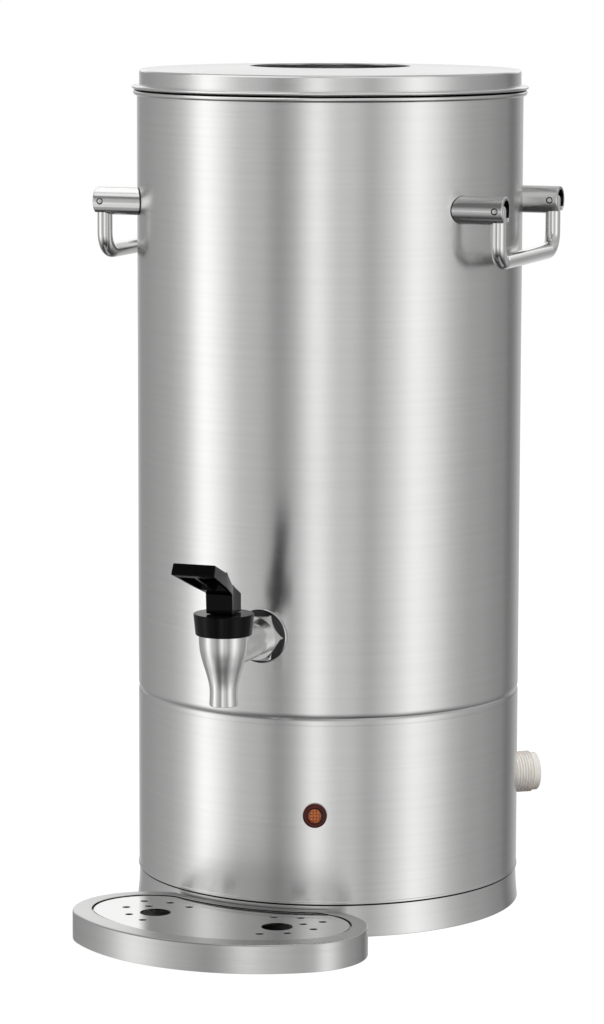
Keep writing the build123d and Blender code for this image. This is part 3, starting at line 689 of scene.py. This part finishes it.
def make_bail(side):
    """Round bar bent at two corners, its ends domed over the pins."""
    x = PIN_X * (1 if side == "right" else -1)
    put_away()
    bpy.ops.mesh.primitive_circle_add(vertices=48, radius=BAIL_R * MM,
                                      location=Vector((x, HANDLE_HALF, STUB_Z)) * MM)
    bail = named(f"bail_{side}_bent")
    bpy.ops.object.transform_apply(location=True, rotation=True, scale=True)
    bpy.ops.object.mode_set(mode="EDIT")
    bpy.ops.mesh.select_all(action="SELECT")
    drop = STUB_Z - BAIL_LOW_Z - BAIL_BEND_R
    across = 2 * (HANDLE_HALF - BAIL_BEND_R)
    bend_z = (BAIL_LOW_Z + BAIL_BEND_R) * MM
    bend_y = (HANDLE_HALF - BAIL_BEND_R) * MM
    quarter = math.pi / 2
    push(0, 0, -drop)
    bpy.ops.mesh.spin(steps=14, angle=quarter, center=(x * MM, bend_y, bend_z), axis=(1, 0, 0))
    push(0, -across, 0)
    bpy.ops.mesh.spin(steps=14, angle=quarter, center=(x * MM, -bend_y, bend_z), axis=(1, 0, 0))
    push(0, 0, drop)
    dome_over(BAIL_R, (x, -HANDLE_HALF, STUB_Z))
    take(bail, "EDIT")
    bpy.ops.mesh.select_all(action="DESELECT")
    bpy.ops.mesh.select_non_manifold()
    dome_over(BAIL_R, (x, HANDLE_HALF, STUB_Z))
    true_up(bail)
    for hand in (1, -1):
        eye = set_down(bar("eye", PIN_R + 0.12, 24, 32),
                       (x, hand * HANDLE_HALF + 12, STUB_Z), (90, 0, 0))
        cut(bail, eye)
    fitted(bail, f"bail_{side}", "polished_steel", f"bail_{side}")


def push(x, y, z):
    """Pulls the picked edges on by one step."""
    bpy.ops.mesh.extrude_edges_move(TRANSFORM_OT_translate={"value": Vector((x, y, z)) * MM})


def dome_over(radius, centre, steps=8):
    """Closes a level ring upwards with a half ball."""
    before = (radius, 0.0)
    for step in range(1, steps + 1):
        angle = math.pi / 2 * step / steps
        ring = (radius * math.cos(angle), radius * math.sin(angle))
        push(0, 0, ring[1] - before[1])
        if step == steps:
            bpy.ops.mesh.merge(type="CENTER")
            break
        middle = Vector((centre[0], centre[1], centre[2] + ring[1])) * MM
        factor = ring[0] / before[0]
        bpy.ops.transform.resize(value=(factor, factor, 1), center_override=middle)
        before = ring


# ---------------------------------------------------------------- tap
CONE = [(8.6, 153.5), (8.3, 161.2), (8.8, 166.5), (10.4, 172.8), (12.6, 180.0), (14.3, 187.3),
        (14.9, TAP_TOP_Z)]


def swept(points, steps=6):
    """A fair curve through the points."""
    fair = []
    padded = [Vector(points[0]) * 2 - Vector(points[1]), *map(Vector, points),
              Vector(points[-1]) * 2 - Vector(points[-2])]
    for a, b, c, d in zip(padded, padded[1:], padded[2:], padded[3:]):
        for step in range(steps):
            t = step / steps
            fair.append(0.5 * (2 * b + (c - a) * t + (2 * a - 5 * b + 4 * c - d) * t ** 2
                               + (3 * b - a - 3 * c + d) * t ** 3))
    return [tuple(point) for point in fair] + [tuple(points[-1])]


def make_tap():
    wall = swept(CONE)
    mouth = [(0, CONE[0][1]), (7.9, CONE[0][1]), (8.25, CONE[0][1] + 0.1), (8.5, CONE[0][1] + 0.35)]
    neck = [(13.2, TAP_TOP_Z), (13.2, CHAMBER_TOP_Z - 0.1), (0, CHAMBER_TOP_Z - 0.1)]
    cone = turned("tap_cast", mouth + wall[1:] + neck, 128)
    set_down(cone, (0, TAP_Y, 0))
    arm = bar("tap_arm", ARM_R, 178.4 + NUT_FRONT_Y, 96)
    set_down(arm, (0, NUT_FRONT_Y, ARM_Z), (90, 0, 0))
    shank = set_down(bar("tap_shank", SHANK_R, 30, 96, 0.6), (0, -104, ARM_Z), (90, 0, 0))
    joined(cone, arm, shank)
    chamber = turned("tap_chamber", [(0, 152), (6.6, 152), (6.3, 154.2), (6.3, 176), (7.4, 176),
                                     (11.8, 188), (11.8, 204), (0, 204)], 96)
    channel = set_down(bar("tap_channel", 6, 90, 64), (0, -100, ARM_Z), (90, 0, 0))
    cut(cone, set_down(chamber, (0, TAP_Y, 0)), channel)
    fitted(cone, "urn", "tap_steel", "tap_body", smooth=28)

    washer = turned("tap_washer_dished", rounded([
        (SHANK_R, 0, 0), (WASHER_R, 0, 0), (WASHER_R, 10.2, 1.6), (SHANK_R, 10.2, 0)], 7), 128)
    set_down(washer, (0, -112, ARM_Z), (90, 0, 0))
    tank_side = set_down(bar("tank_side", BODY_R + 0.03, 60, 256), (0, 0, ARM_Z - 30))
    cut(washer, tank_side)
    fitted(washer, "urn", "shaded_steel", "tap_washer", slot="polished_steel")

    nut = hexagon_nut("tap_nut_turned", 27.0, 8.8, SHANK_R + 0.05, 1.6)
    set_down(nut, (0, WASHER_FRONT_Y, ARM_Z), (90, 0, 0))
    fitted(nut, "urn", "polished_steel", "tap_nut")

    low, high = TAP_TOP_Z, BONNET_TOP_Z
    cap = rounded([(13.3, low, 0), (16.75, low, 0.8), (18.05, high, 0.7), (2.6, high, 0.2),
                   (2.6, CHAMBER_TOP_Z, 0), (13.3, CHAMBER_TOP_Z, 0)], 5)
    bonnet = set_down(turned("tap_bonnet_turned", cap, 160), (0, TAP_Y, 0))
    fitted(bonnet, "urn", "black_gloss", "tap_bonnet")


def make_valve_spring():
    """Coil over the seat cup, its top under the bonnet. On the real tap it shortens as the valve
    rises."""
    wire, coil_r, turns, lift = 0.5, 4.1, 5, 2.6
    top, bottom = CHAMBER_TOP_Z, 183.6
    height = top - bottom - 2 * wire - 0.1
    put_away()
    bpy.ops.mesh.primitive_circle_add(vertices=16, radius=wire * MM, rotation=(math.pi / 2, 0, 0),
                                      location=(coil_r * MM, 0, 0))
    spring = named("valve_spring_coiled")
    bpy.ops.object.transform_apply(location=True, rotation=True, scale=True)
    fit(spring, "SCREW", screw_offset=height / turns * MM, iterations=turns, steps=32,
        render_steps=32)
    take(spring, "EDIT")
    bpy.ops.mesh.select_all(action="SELECT")
    bpy.ops.mesh.fill_holes(sides=16)
    true_up(spring)
    set_down(spring, (0, TAP_Y, bottom + wire + 0.05))
    fitted(spring, "urn", "stem_steel", "valve_spring")
    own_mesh(spring)


def hexagon_nut(name, flats, height, bore, chamfer):
    """Nut along Z, corners towards X, chamfered on its top side."""
    put_away()
    corner = flats / math.sqrt(3)
    bpy.ops.mesh.primitive_circle_add(vertices=6, radius=corner * MM, fill_type="NGON",
                                      rotation=(0, 0, math.pi / 2))
    nut = named(name)
    bpy.ops.object.transform_apply(location=True, rotation=True, scale=True)
    bpy.ops.object.mode_set(mode="EDIT")
    bpy.ops.mesh.select_all(action="SELECT")
    bpy.ops.mesh.extrude_region_move(TRANSFORM_OT_translate={"value": (0, 0, height * MM)})
    true_up(nut)
    eased(nut, 0.35, 3, 50)
    crown = turned("nut_crown", [
        (0, -1), (corner + 1, -1), (corner + 1, height - chamfer - 0.3),
        (corner, height - chamfer), (flats / 2 - 0.4, height), (0, height)], 96)
    trimmed(nut, crown)
    hole = set_down(bar("nut_hole", bore, height + 2), (0, 0, -1))
    cut(nut, hole)
    return eased(nut, 0.18, 2, 20)


LEVER_SIDE = [(-190.0, 209.2), (-174.2, 209.2), (-174.2, 220.3), (-187.5, 226.3), (-205.5, 237.0),
              (-229.5, 245.0), (-232.5, 238.5), (-190.6, 221.6)]
LEVER_PLAN = [(0, -172), (8.0, -172), (8.0, -187.5), (11.0, -205.5), (13.7, -234), (0, -234)]
LEVER_WALL = 1.8
# slot for the stem, closed in front
LEVER_SLOT = [(-189.55, 208.0), (-188.0, 221.3), (-178.6, 221.3), (-178.6, 208.0)]


def plan_stock(name, half_plan, low, high):
    """A half plan and its mirror image made solid between two heights."""
    left = [(-x, y) for x, y in reversed(half_plan) if x > 0]
    stock = plate_stock(name, [*half_plan, *left], high - low)
    return set_down(stock, (0, 0, low))


def make_lever():
    lever = plate_stock("tap_lever_moulded", LEVER_SIDE, 28, "x")
    trimmed(lever, plan_stock("lever_plan", LEVER_PLAN, 200, 250))
    eased(lever, 0.8, 4, 12)
    under = [(-227.2, 241.5), (-205.8, 234.4), (-198.5, 230.0), (-198.5, 210), (-227.2, 210)]
    hollow = plate_stock("lever_hollow", under, 28, "x")
    plan = [(0, -196), (9.8 - LEVER_WALL, -196), (11.0 - LEVER_WALL, -205.5),
            (13.0 - LEVER_WALL, -230), (0, -230)]
    trimmed(hollow, plan_stock("hollow_plan", plan, 200, 250))
    rib = block("lever_rib", (-0.8, -240, 200), (0.8, -190, 250))
    cut(hollow, rib)
    slot = plate_stock("lever_slot", LEVER_SLOT, 5.6, "x")
    eye = set_down(bar("lever_eye", 1.57, 14.9, 32), (-7.45, TAP_Y, LEVER_PIN_Z), (0, 90, 0))
    cut(lever, hollow, slot, eye)
    eased(lever, 0.2, 2, 50)
    fitted(lever, "lever", "black_gloss", "tap_lever", smooth=25)


# ---------------------------------------------------------------- pilot lamp
def make_lamp():
    ring = rounded([(4.9, 0, 0), (7.4, 0, 0), (7.4, 1.6, 1.2), (4.9, 1.6, 0.5)], 7)
    bezel = facing(turned("lamp_bezel_turned", ring, 96), LAMP_ANGLE, LAMP_FACE, LAMP_Z)
    fitted(bezel, "urn", "lamp_red", "lamp_bezel")
    put_away()
    bpy.ops.mesh.primitive_grid_add(x_subdivisions=5, y_subdivisions=5, size=9.5 * MM)
    waffle = named("lamp_lens_moulded")
    bpy.ops.object.mode_set(mode="EDIT")
    bpy.ops.mesh.select_all(action="SELECT")
    bpy.ops.mesh.extrude_region_move(TRANSFORM_OT_translate={"value": (0, 0, 1.2 * MM)})
    bpy.ops.mesh.inset(thickness=0.28 * MM, use_individual=True)
    bpy.ops.transform.translate(value=(0, 0, 0.32 * MM))
    true_up(waffle)
    eased(waffle, 0.1, 2, 25)
    dome = turned("lens_dome", [
        (0, 0), (4.3, 0), (4.3, 1.1), (3.2, 1.5), (1.6, 1.68), (0, 1.7)], 64)
    trimmed(waffle, dome)
    facing(waffle, LAMP_ANGLE, LAMP_FACE, LAMP_Z)
    fitted(waffle, "urn", "lamp_amber", "lamp_lens", smooth=20)


# ---------------------------------------------------------------- water inlet
def make_inlet():
    """Moulded valve with its threaded stub, flange, block and hose spigot."""
    crest, root, pitch = 13.22, 12.35, 1.814
    thread = []
    for turn in range(8):
        z = 121.1 + turn * pitch
        thread += [(root, z), (crest - 0.1, z + 0.55), (crest, z + 0.8), (crest - 0.1, z + 1.05),
                   (root, z + 1.6)]
    stub = [(0, 99), (12.7, 99), (12.7, 120.6), *thread, (12.2, 135.7), (12.2, 138.8),
            (11.9, 139.3), (11.4, 139.6), (0, 139.6)]
    valve = turned("inlet_valve_moulded", stub, 96)
    flange = set_down(bar("inlet_flange", 17, 4, 96, 0.5), (0, 0, 113.5))
    body = eased(block("inlet_block", (-15, -15, 88), (15, 15, 108)), 1.5, 3)
    spigot = set_down(bar("inlet_spigot", 5, 20, 48, 0.4), (0, 0, 72))
    joined(valve, flange, body, spigot)
    mouth = turned("inlet_mouth", [(0, 112), (9.2, 112), (9.2, 132), (9.8, 132), (9.8, 139.2),
                                   (10.2, 139.7), (10.2, 141), (0, 141)], 96)
    cut(valve, mouth)
    facing(valve, INLET_ANGLE, 0, INLET_Z)
    fitted(valve, "urn", "inlet_white", "inlet_valve", smooth=40)


# ---------------------------------------------------------------- drip tray
# plan outlines: round ends' centre x and y, their radius, front y, back radius
TRAY_PLAN = (49.5, -155.0, 45.0, -218.5, 121.5)
RECESS_PLAN = (49.0, -152.8, 34.8, -205.5, 127.2)
LEDGE = 3.2
PLATE_GAP = 1.3
FINGER_HOLE = (41.0, -159.5, 9.4)
DRAIN_HOLES = [(28.8, -138.2), (44.3, -133.4), (60.5, -136.5), (52.2, -146.6),
               (63.2, -155.2), (53.2, -170.5), (39.2, -179.4)]
DRAIN_HOLE_R = 2.45


def arc_between(centre, start, end, turning, steps):
    """Points on an arc from start to end, turning 1 for anticlockwise."""
    a = math.atan2(start[1] - centre[1], start[0] - centre[0])
    b = math.atan2(end[1] - centre[1], end[0] - centre[0])
    sweep = (b - a) % math.tau if turning > 0 else -((a - b) % math.tau)
    radius = math.dist(centre, start)
    return [(centre[0] + radius * math.cos(a + sweep * k / steps),
             centre[1] + radius * math.sin(a + sweep * k / steps)) for k in range(steps + 1)]


def kidney(plan, inset, corner):
    """Tray outline: front arc, two round ends, back arc that hugs the plinth."""
    end_x, end_y, end_r, front_y, back_r = plan
    end_r, front_y, back_r = end_r - inset, front_y + inset, back_r + inset
    depth = end_y - front_y
    front_r = (depth ** 2 + end_x ** 2 - end_r ** 2) / (2 * (depth - end_r))
    front_c = front_y + front_r
    lean = math.atan2(end_y - front_c, end_x)
    joint = (front_r * math.cos(lean), front_c + front_r * math.sin(lean))
    # the horn's corner circle touches the round end inside and the back arc outside
    to_end, to_back = end_r - corner, back_r + corner
    reach = math.hypot(end_x, end_y)
    spread = math.acos((reach ** 2 + to_back ** 2 - to_end ** 2) / (2 * reach * to_back))
    angle = math.atan2(end_y, end_x) + spread
    horn = (to_back * math.cos(angle), to_back * math.sin(angle))
    out = (horn[0] - end_x, horn[1] - end_y)
    leave = (end_x + out[0] * end_r / to_end, end_y + out[1] * end_r / to_end)
    land = (horn[0] * back_r / to_back, horn[1] * back_r / to_back)
    half = arc_between((0, front_c), (0, front_y), joint, 1, 16)
    half += arc_between((end_x, end_y), joint, leave, 1, 28)[1:]
    half += arc_between(horn, leave, land, 1, 8)[1:]
    half += arc_between((0, 0), land, (0, -back_r), -1, 24)[1:]
    return half + [(-x, y) for x, y in reversed(half[1:-1])]


def kidney_stock(name, plan, inset, corner, low, high):
    stock = plate_stock(name, kidney(plan, inset, corner), high - low)
    return set_down(stock, (0, 0, low))


def make_tray():
    floor_z, wall, seat_z = 0.8, SHEET, PLATE_TOP_Z - PLATE_T
    tray = kidney_stock("drip_tray_pressed", TRAY_PLAN, 0, 4, 0, TRAY_H)
    rim = [edge.index for edge in tray.data.edges
           if all(tray.data.vertices[v].co.z > (TRAY_H - 0.1) * MM for v in edge.vertices)]
    take(tray, "EDIT")
    bpy.ops.mesh.select_mode(type="EDGE")
    bpy.ops.mesh.select_all(action="DESELECT")
    put_away()
    for index in rim:
        tray.data.edges[index].select = True
    take(tray, "EDIT")
    bpy.ops.mesh.bevel(offset=1.2 * MM, segments=5)
    bpy.ops.mesh.select_mode(type="VERT")
    put_away()
    hollow = kidney_stock("tray_hollow", TRAY_PLAN, wall, 3, -1, seat_z - wall)
    core = kidney_stock("tray_core", RECESS_PLAN, LEDGE - wall, 5, floor_z, 30)
    cut(hollow, core)
    cut(tray, kidney_stock("tray_recess", RECESS_PLAN, 0, 5, seat_z, 25),
        kidney_stock("tray_pan", RECESS_PLAN, LEDGE, 5, floor_z + wall, 30), hollow)
    eased(tray, 0.25, 2, 50)
    # faces near the recess wall, from the plate's seat up to the rim, are marked for painted shade
    outline = [Vector(point) * MM for point in kidney(RECESS_PLAN, 0, 5)]
    gap_shade_mark = tray.data.attributes.new("gap", "FLOAT", "FACE")
    for face in tray.data.polygons:
        level = (seat_z - 0.3) * MM < face.center.z < (TRAY_H - 0.2) * MM
        near = level and min((face.center.xy - point).length for point in outline) < 4.5 * MM
        gap_shade_mark.data[face.index].value = float(near)
    set_down(tray, turn=(0, 0, TRAY_TURN))
    fitted(tray, "tray", "tray_steel", "drip_tray", slot="satin_steel")


def make_plate():
    plate = kidney_stock("drip_plate_pierced", RECESS_PLAN, PLATE_GAP, 4,
                         PLATE_TOP_Z - PLATE_T, PLATE_TOP_Z)
    punches = []
    for side in (-1, 1):
        for x, y, radius in [FINGER_HOLE, *((*hole, DRAIN_HOLE_R) for hole in DRAIN_HOLES)]:
            punch = bar("punch", radius, 4, 72 if radius > 5 else 32)
            punches.append(set_down(punch, (side * x, y, 14)))
    cut(plate, *punches)
    eased(plate, 0.2, 2, 50)
    set_down(plate, turn=(0, 0, TRAY_TURN))
    fitted(plate, "plate", "drip_plate_steel", "drip_plate")


# ---------------------------------------------------------------- back and underside
def make_gland():
    """Cable gland: flat hexagon against the skirt, ribbed cap nut, open bore."""
    thread = bar("gland_thread", 10.0, 21, 64, 0.4)
    set_down(thread, (0, 0, 104))
    flats = hexagon_nut("gland_flats", 26.0, 9.0, 5.0, 0.9)
    set_down(flats, (0, 0, 117))
    cap = turned("gland_cap", rounded([(0, 125.6, 0), (12, 125.6, 0), (12, 131, 1.5),
                                       (8.5, 137, 1.0), (6, 138, 0.4), (0, 138, 0)], 4), 96)
    rib = eased(block("gland_rib", (11.2, -0.7, 126.2), (12.35, 0.7, 130.2)), 0.25, 2)
    for step in range(16):
        copy = set_down(twin(rib, f"gland_rib_{step}"), turn=(0, 0, step * 22.5))
        joined(cap, copy)
    bpy.data.objects.remove(rib)
    joined(thread, flats, cap)
    cut(thread, set_down(bar("gland_bore", GLAND_BORE_R, 60, 48), (0, 0, 95)))
    thread.name = thread.data.name = "mains_gland_moulded"
    facing(thread, 180, 0, GLAND_Z)
    tank_side = set_down(bar("skirt_side", BODY_R - 0.4, 40, 192), (0, 0, GLAND_Z - 20))
    keep = set_down(bar("gland_core", 10.0, 30, 64), (0, 100, GLAND_Z), (-90, 0, 0))
    cut(tank_side, keep)
    cut(thread, tank_side)
    fitted(thread, "urn", "gland_black", "mains_gland", smooth=35)


def make_base_screws():
    """Countersunk screws with cross recesses, one made and three copied."""
    outline = [(0, 0.1), (3.45, 0.1), (3.6, 0.2), (1.9, 1.5), (1.9, 8), (1.5, 8.6), (0, 8.6)]
    screw = turned("base_screw", outline, 48)
    for name, low, high in (("recess_x", (-1.9, -0.35, -1), (1.9, 0.35, 1.1)),
                            ("recess_y", (-0.35, -1.9, -1), (0.35, 1.9, 1.1))):
        cut(screw, block(name, low, high))
    for step in range(4):
        angle = math.radians(45 + 90 * step)
        copy = twin(screw, f"base_screw_{step + 1}")
        place = (SCREW_RING_R * math.cos(angle), SCREW_RING_R * math.sin(angle), 0)
        set_down(copy, place, (0, 0, 17 * step))
        fitted(copy, "urn", "stem_steel", "base_screws")
    bpy.data.objects.remove(screw)


make_tank()
make_skirt()
make_plinth()
make_lid()
make_handles()
make_bail("right")
make_bail("left")
make_tap()
make_valve_spring()
make_lever()
make_lamp()
make_inlet()
make_tray()
make_plate()
make_gland()
make_base_screws()


# ---------------------------------------------------------------- studio
def make_camera():
    lens = bpy.data.cameras.new("camera")
    lens.lens = 142.35
    lens.sensor_width = 36
    camera = bpy.data.objects.new("camera", lens)
    bpy.context.scene.collection.objects.link(camera)
    away, height = 2.527, 0.6074
    swing, dip, lean = 0.3835, 8.169, 0.134
    side = math.radians(CAMERA_SIDE)
    heading = Matrix.Rotation(side + math.radians(swing), 4, "Z")
    pitch = Matrix.Rotation(math.radians(90 - dip), 4, "X")
    roll = Matrix.Rotation(math.radians(lean), 4, "Z")
    stand = Matrix.Translation((away * math.sin(side), -away * math.cos(side), height))
    camera.matrix_world = stand @ heading @ pitch @ roll
    bpy.context.scene.camera = camera


# brightness round the room, by the angle from the camera's side, to its right;
# white cards and dark gaps between them make the bands on the steel
CAMERA_SIDE = 19.8
ROOM = [(-180, 0.75), (-168, 0.68), (-158, 0.34), (-140, 0.366), (-109, 0.508), (-95, 0.75),
        (-80, 1.588), (-68, 1.161), (-56, 0.703), (-40, 0.605), (-30, 0.321), (-20, 0.572),
        (-8, 1.331), (4, 0.739), (14, 0.752), (24, 0.471), (40, 0.892), (52, 1.353), (66, 1.022),
        (79, 0.639), (93, 0.461), (107, 0.419), (120, 0.335), (130, 0.315),
        (138, 0.17), (147, 0.29), (157, 0.48), (168, 0.62), (180, 0.75)]
ROOM_HIGH = [(-180, 0.66), (-140, 0.5), (-90, 0.3), (-60, 0.16), (-30, 0.18), (0, 0.45),
             (40, 0.6), (90, 0.5), (140, 0.6), (180, 0.66)]


def make_room():
    world = bpy.data.worlds.new("studio")
    bpy.context.scene.world = world
    world.use_nodes = True
    room = Bench(world.node_tree)
    direction = room.node("TexCoord", output="Generated")
    x, y, z = (room.node("SeparateXYZ", {}, {0: direction}, k) for k in range(3))
    # the room's angle is measured from the camera's side, and wraps behind the urn
    side = math.radians(CAMERA_SIDE)
    ahead = x * math.sin(side) - y * math.cos(side)
    right = x * math.cos(side) + y * math.sin(side)
    angle = room.node("Math", {"operation": "ARCTAN2"}, {0: right, 1: ahead})
    turn = angle / math.tau + 0.5

    def ring_of(levels):
        highest = max(level for _, level in levels)
        stops = [((a + 180) / 360, level / highest) for a, level in levels]
        return room.node("ValToRGB", {"stops": stops}, {"Fac": turn}) * highest

    def sine(angle):
        return math.sin(math.radians(angle))

    def over(level, other, share):
        return level * (1 - share) + other * share

    level = over(ring_of(ROOM), ring_of(ROOM_HIGH), z.held(sine(8), sine(30)))
    level = over(level, 0.42, z.held(sine(54), sine(74)))
    level = over(level, 1.2, z.held(sine(74), sine(81)))
    level = over(level, 0.05, (0 - z).held(sine(15), sine(60)))
    # the paper behind the urn, which its level faces show
    behind = (0 - ahead).held(0.75, 0.95) * z.held(0.03, 0.1) * (1 - z.held(0.3, 0.5))
    level = over(level, 1.15, behind)
    seen = room.node("LightPath", output="Is Camera Ray")
    shown = level * (1 - seen) + seen
    glow = room.node("Background", {}, {"Color": shown, "Strength": 1.0})
    room.node("OutputWorld", {}, {"Surface": glow})


def lamp(name, place, aim, size, level, *shown_to):
    """Soft box; level is how bright its face is. Only the pieces that it is shown to
    reflect it; a lamp shown to none lights everything and is reflected by nothing."""
    light = bpy.data.lights.new(name, "AREA")
    light.shape = "RECTANGLE"
    light.size, light.size_y = size
    light.energy = level * math.pi * size[0] * size[1]
    box = bpy.data.objects.new(name, light)
    bpy.context.scene.collection.objects.link(box)
    box.location = place
    box.rotation_euler = (Vector(aim) - Vector(place)).to_track_quat("-Z", "Y").to_euler()
    box.visible_camera = False
    box.visible_glossy = bool(shown_to)
    if shown_to:
        group = bpy.data.collections.new(name + "_shown_to")
        for piece in shown_to:
            group.objects.link(bpy.data.objects[piece])
        box.light_linking.receiver_collection = group


def make_lamps():
    lamp("fill_left", (-1.6, -1.6, 1.7), (0, 0, 0.25), (1.4, 1.4), 1.6)
    lamp("fill_right", (1.9, -0.9, 1.9), (0, 0, 0.25), (1.4, 1.4), 5.5)
    stubs = ["handle_pipe_left_front", "handle_pipe_left_rear"]
    for first, last in ((-0.75, -0.29), (-0.23, 0.25), (0.31, 0.62)):
        middle = (first + last) / 2
        lamp(f"card_over_{first}", (-0.4, middle, 1.03), (-0.4, middle, 0.4),
             (0.7, last - first), 1.0, *stubs)
    lamp("card_left", (-0.33, -0.5, 0.17), (-0.13, 0, 0.44), (0.35, 0.35), 0.45, *stubs)
    lamp("card_left_low", (-0.3, -0.29, 0.035), (-0.13, -0.05, 0.44), (0.3, 0.3), 0.4, *stubs)
    lamp("card_front", (-0.2, -1.0, 0.36), (0.13, 0, 0.44), (0.5, 0.12), 0.45,
         "handle_pipe_right_front", "handle_pipe_right_rear")
    lamp("card_table_left", (-0.23, -0.265, 0.01), (-0.23, -0.265, 1), (0.25, 0.25), 0.35,
         "tap_cast")
    lamp("card_table_right", (0.244, -0.204, 0.01), (0.244, -0.204, 1), (0.25, 0.25), 0.2,
         "tap_cast")
    lamp("card_lid_left", (-0.74, -0.88, 1.48), (0, 0, 0.52), (2.0, 1.2), 1.1,
         "lid_spun", "tank_shell_spun")
    lamp("card_lid_right", (0.95, -0.7, 1.48), (0, 0, 0.52), (1.8, 1.2), 0.4,
         "lid_spun", "tank_shell_spun")
    lamp("card_behind", (0.53, 1.1, 0.25), (0.13, 0, 0.42), (1.3, 1.3), 0.15,
         "bail_right_bent", "bail_left_bent")
    for side, piece in ((1, "bail_right_bent"), (-1, "bail_left_bent")):
        lamp(f"card_under_{piece}", (side * 0.21, -0.05, 0.012), (side * 0.21, -0.05, 1),
             (0.16, 0.5), 0.3, piece)


def make_floor():
    """White paper, which keeps a faint shadow under the urn."""
    put_away()
    bpy.ops.mesh.primitive_circle_add(vertices=96, radius=4, fill_type="NGON",
                                      location=(0, 0, -0.0004))
    paper = named("floor_paper")
    bpy.ops.object.transform_apply(location=True, rotation=True, scale=True)
    finish = bpy.data.materials.new("floor_paper")
    finish.use_nodes = True
    sheet = Bench(finish.node_tree)
    seen = sheet.node("LightPath", output="Is Camera Ray")
    matt = sheet.node("BsdfDiffuse", {}, {"Color": (0.2, 0.2, 0.2, 1)})
    glow = sheet.node("Emission", {}, {"Color": (1, 1, 1, 1), "Strength": seen * 0.93})
    both = sheet.node("AddShader", {}, {0: matt, 1: glow})
    sheet.node("OutputMaterial", {}, {"Surface": both})
    paper.data.materials.append(finish)
    paper.visible_glossy = False


make_camera()
make_room()
make_lamps()
make_floor()
bpy.context.scene.view_settings.view_transform = "Standard"
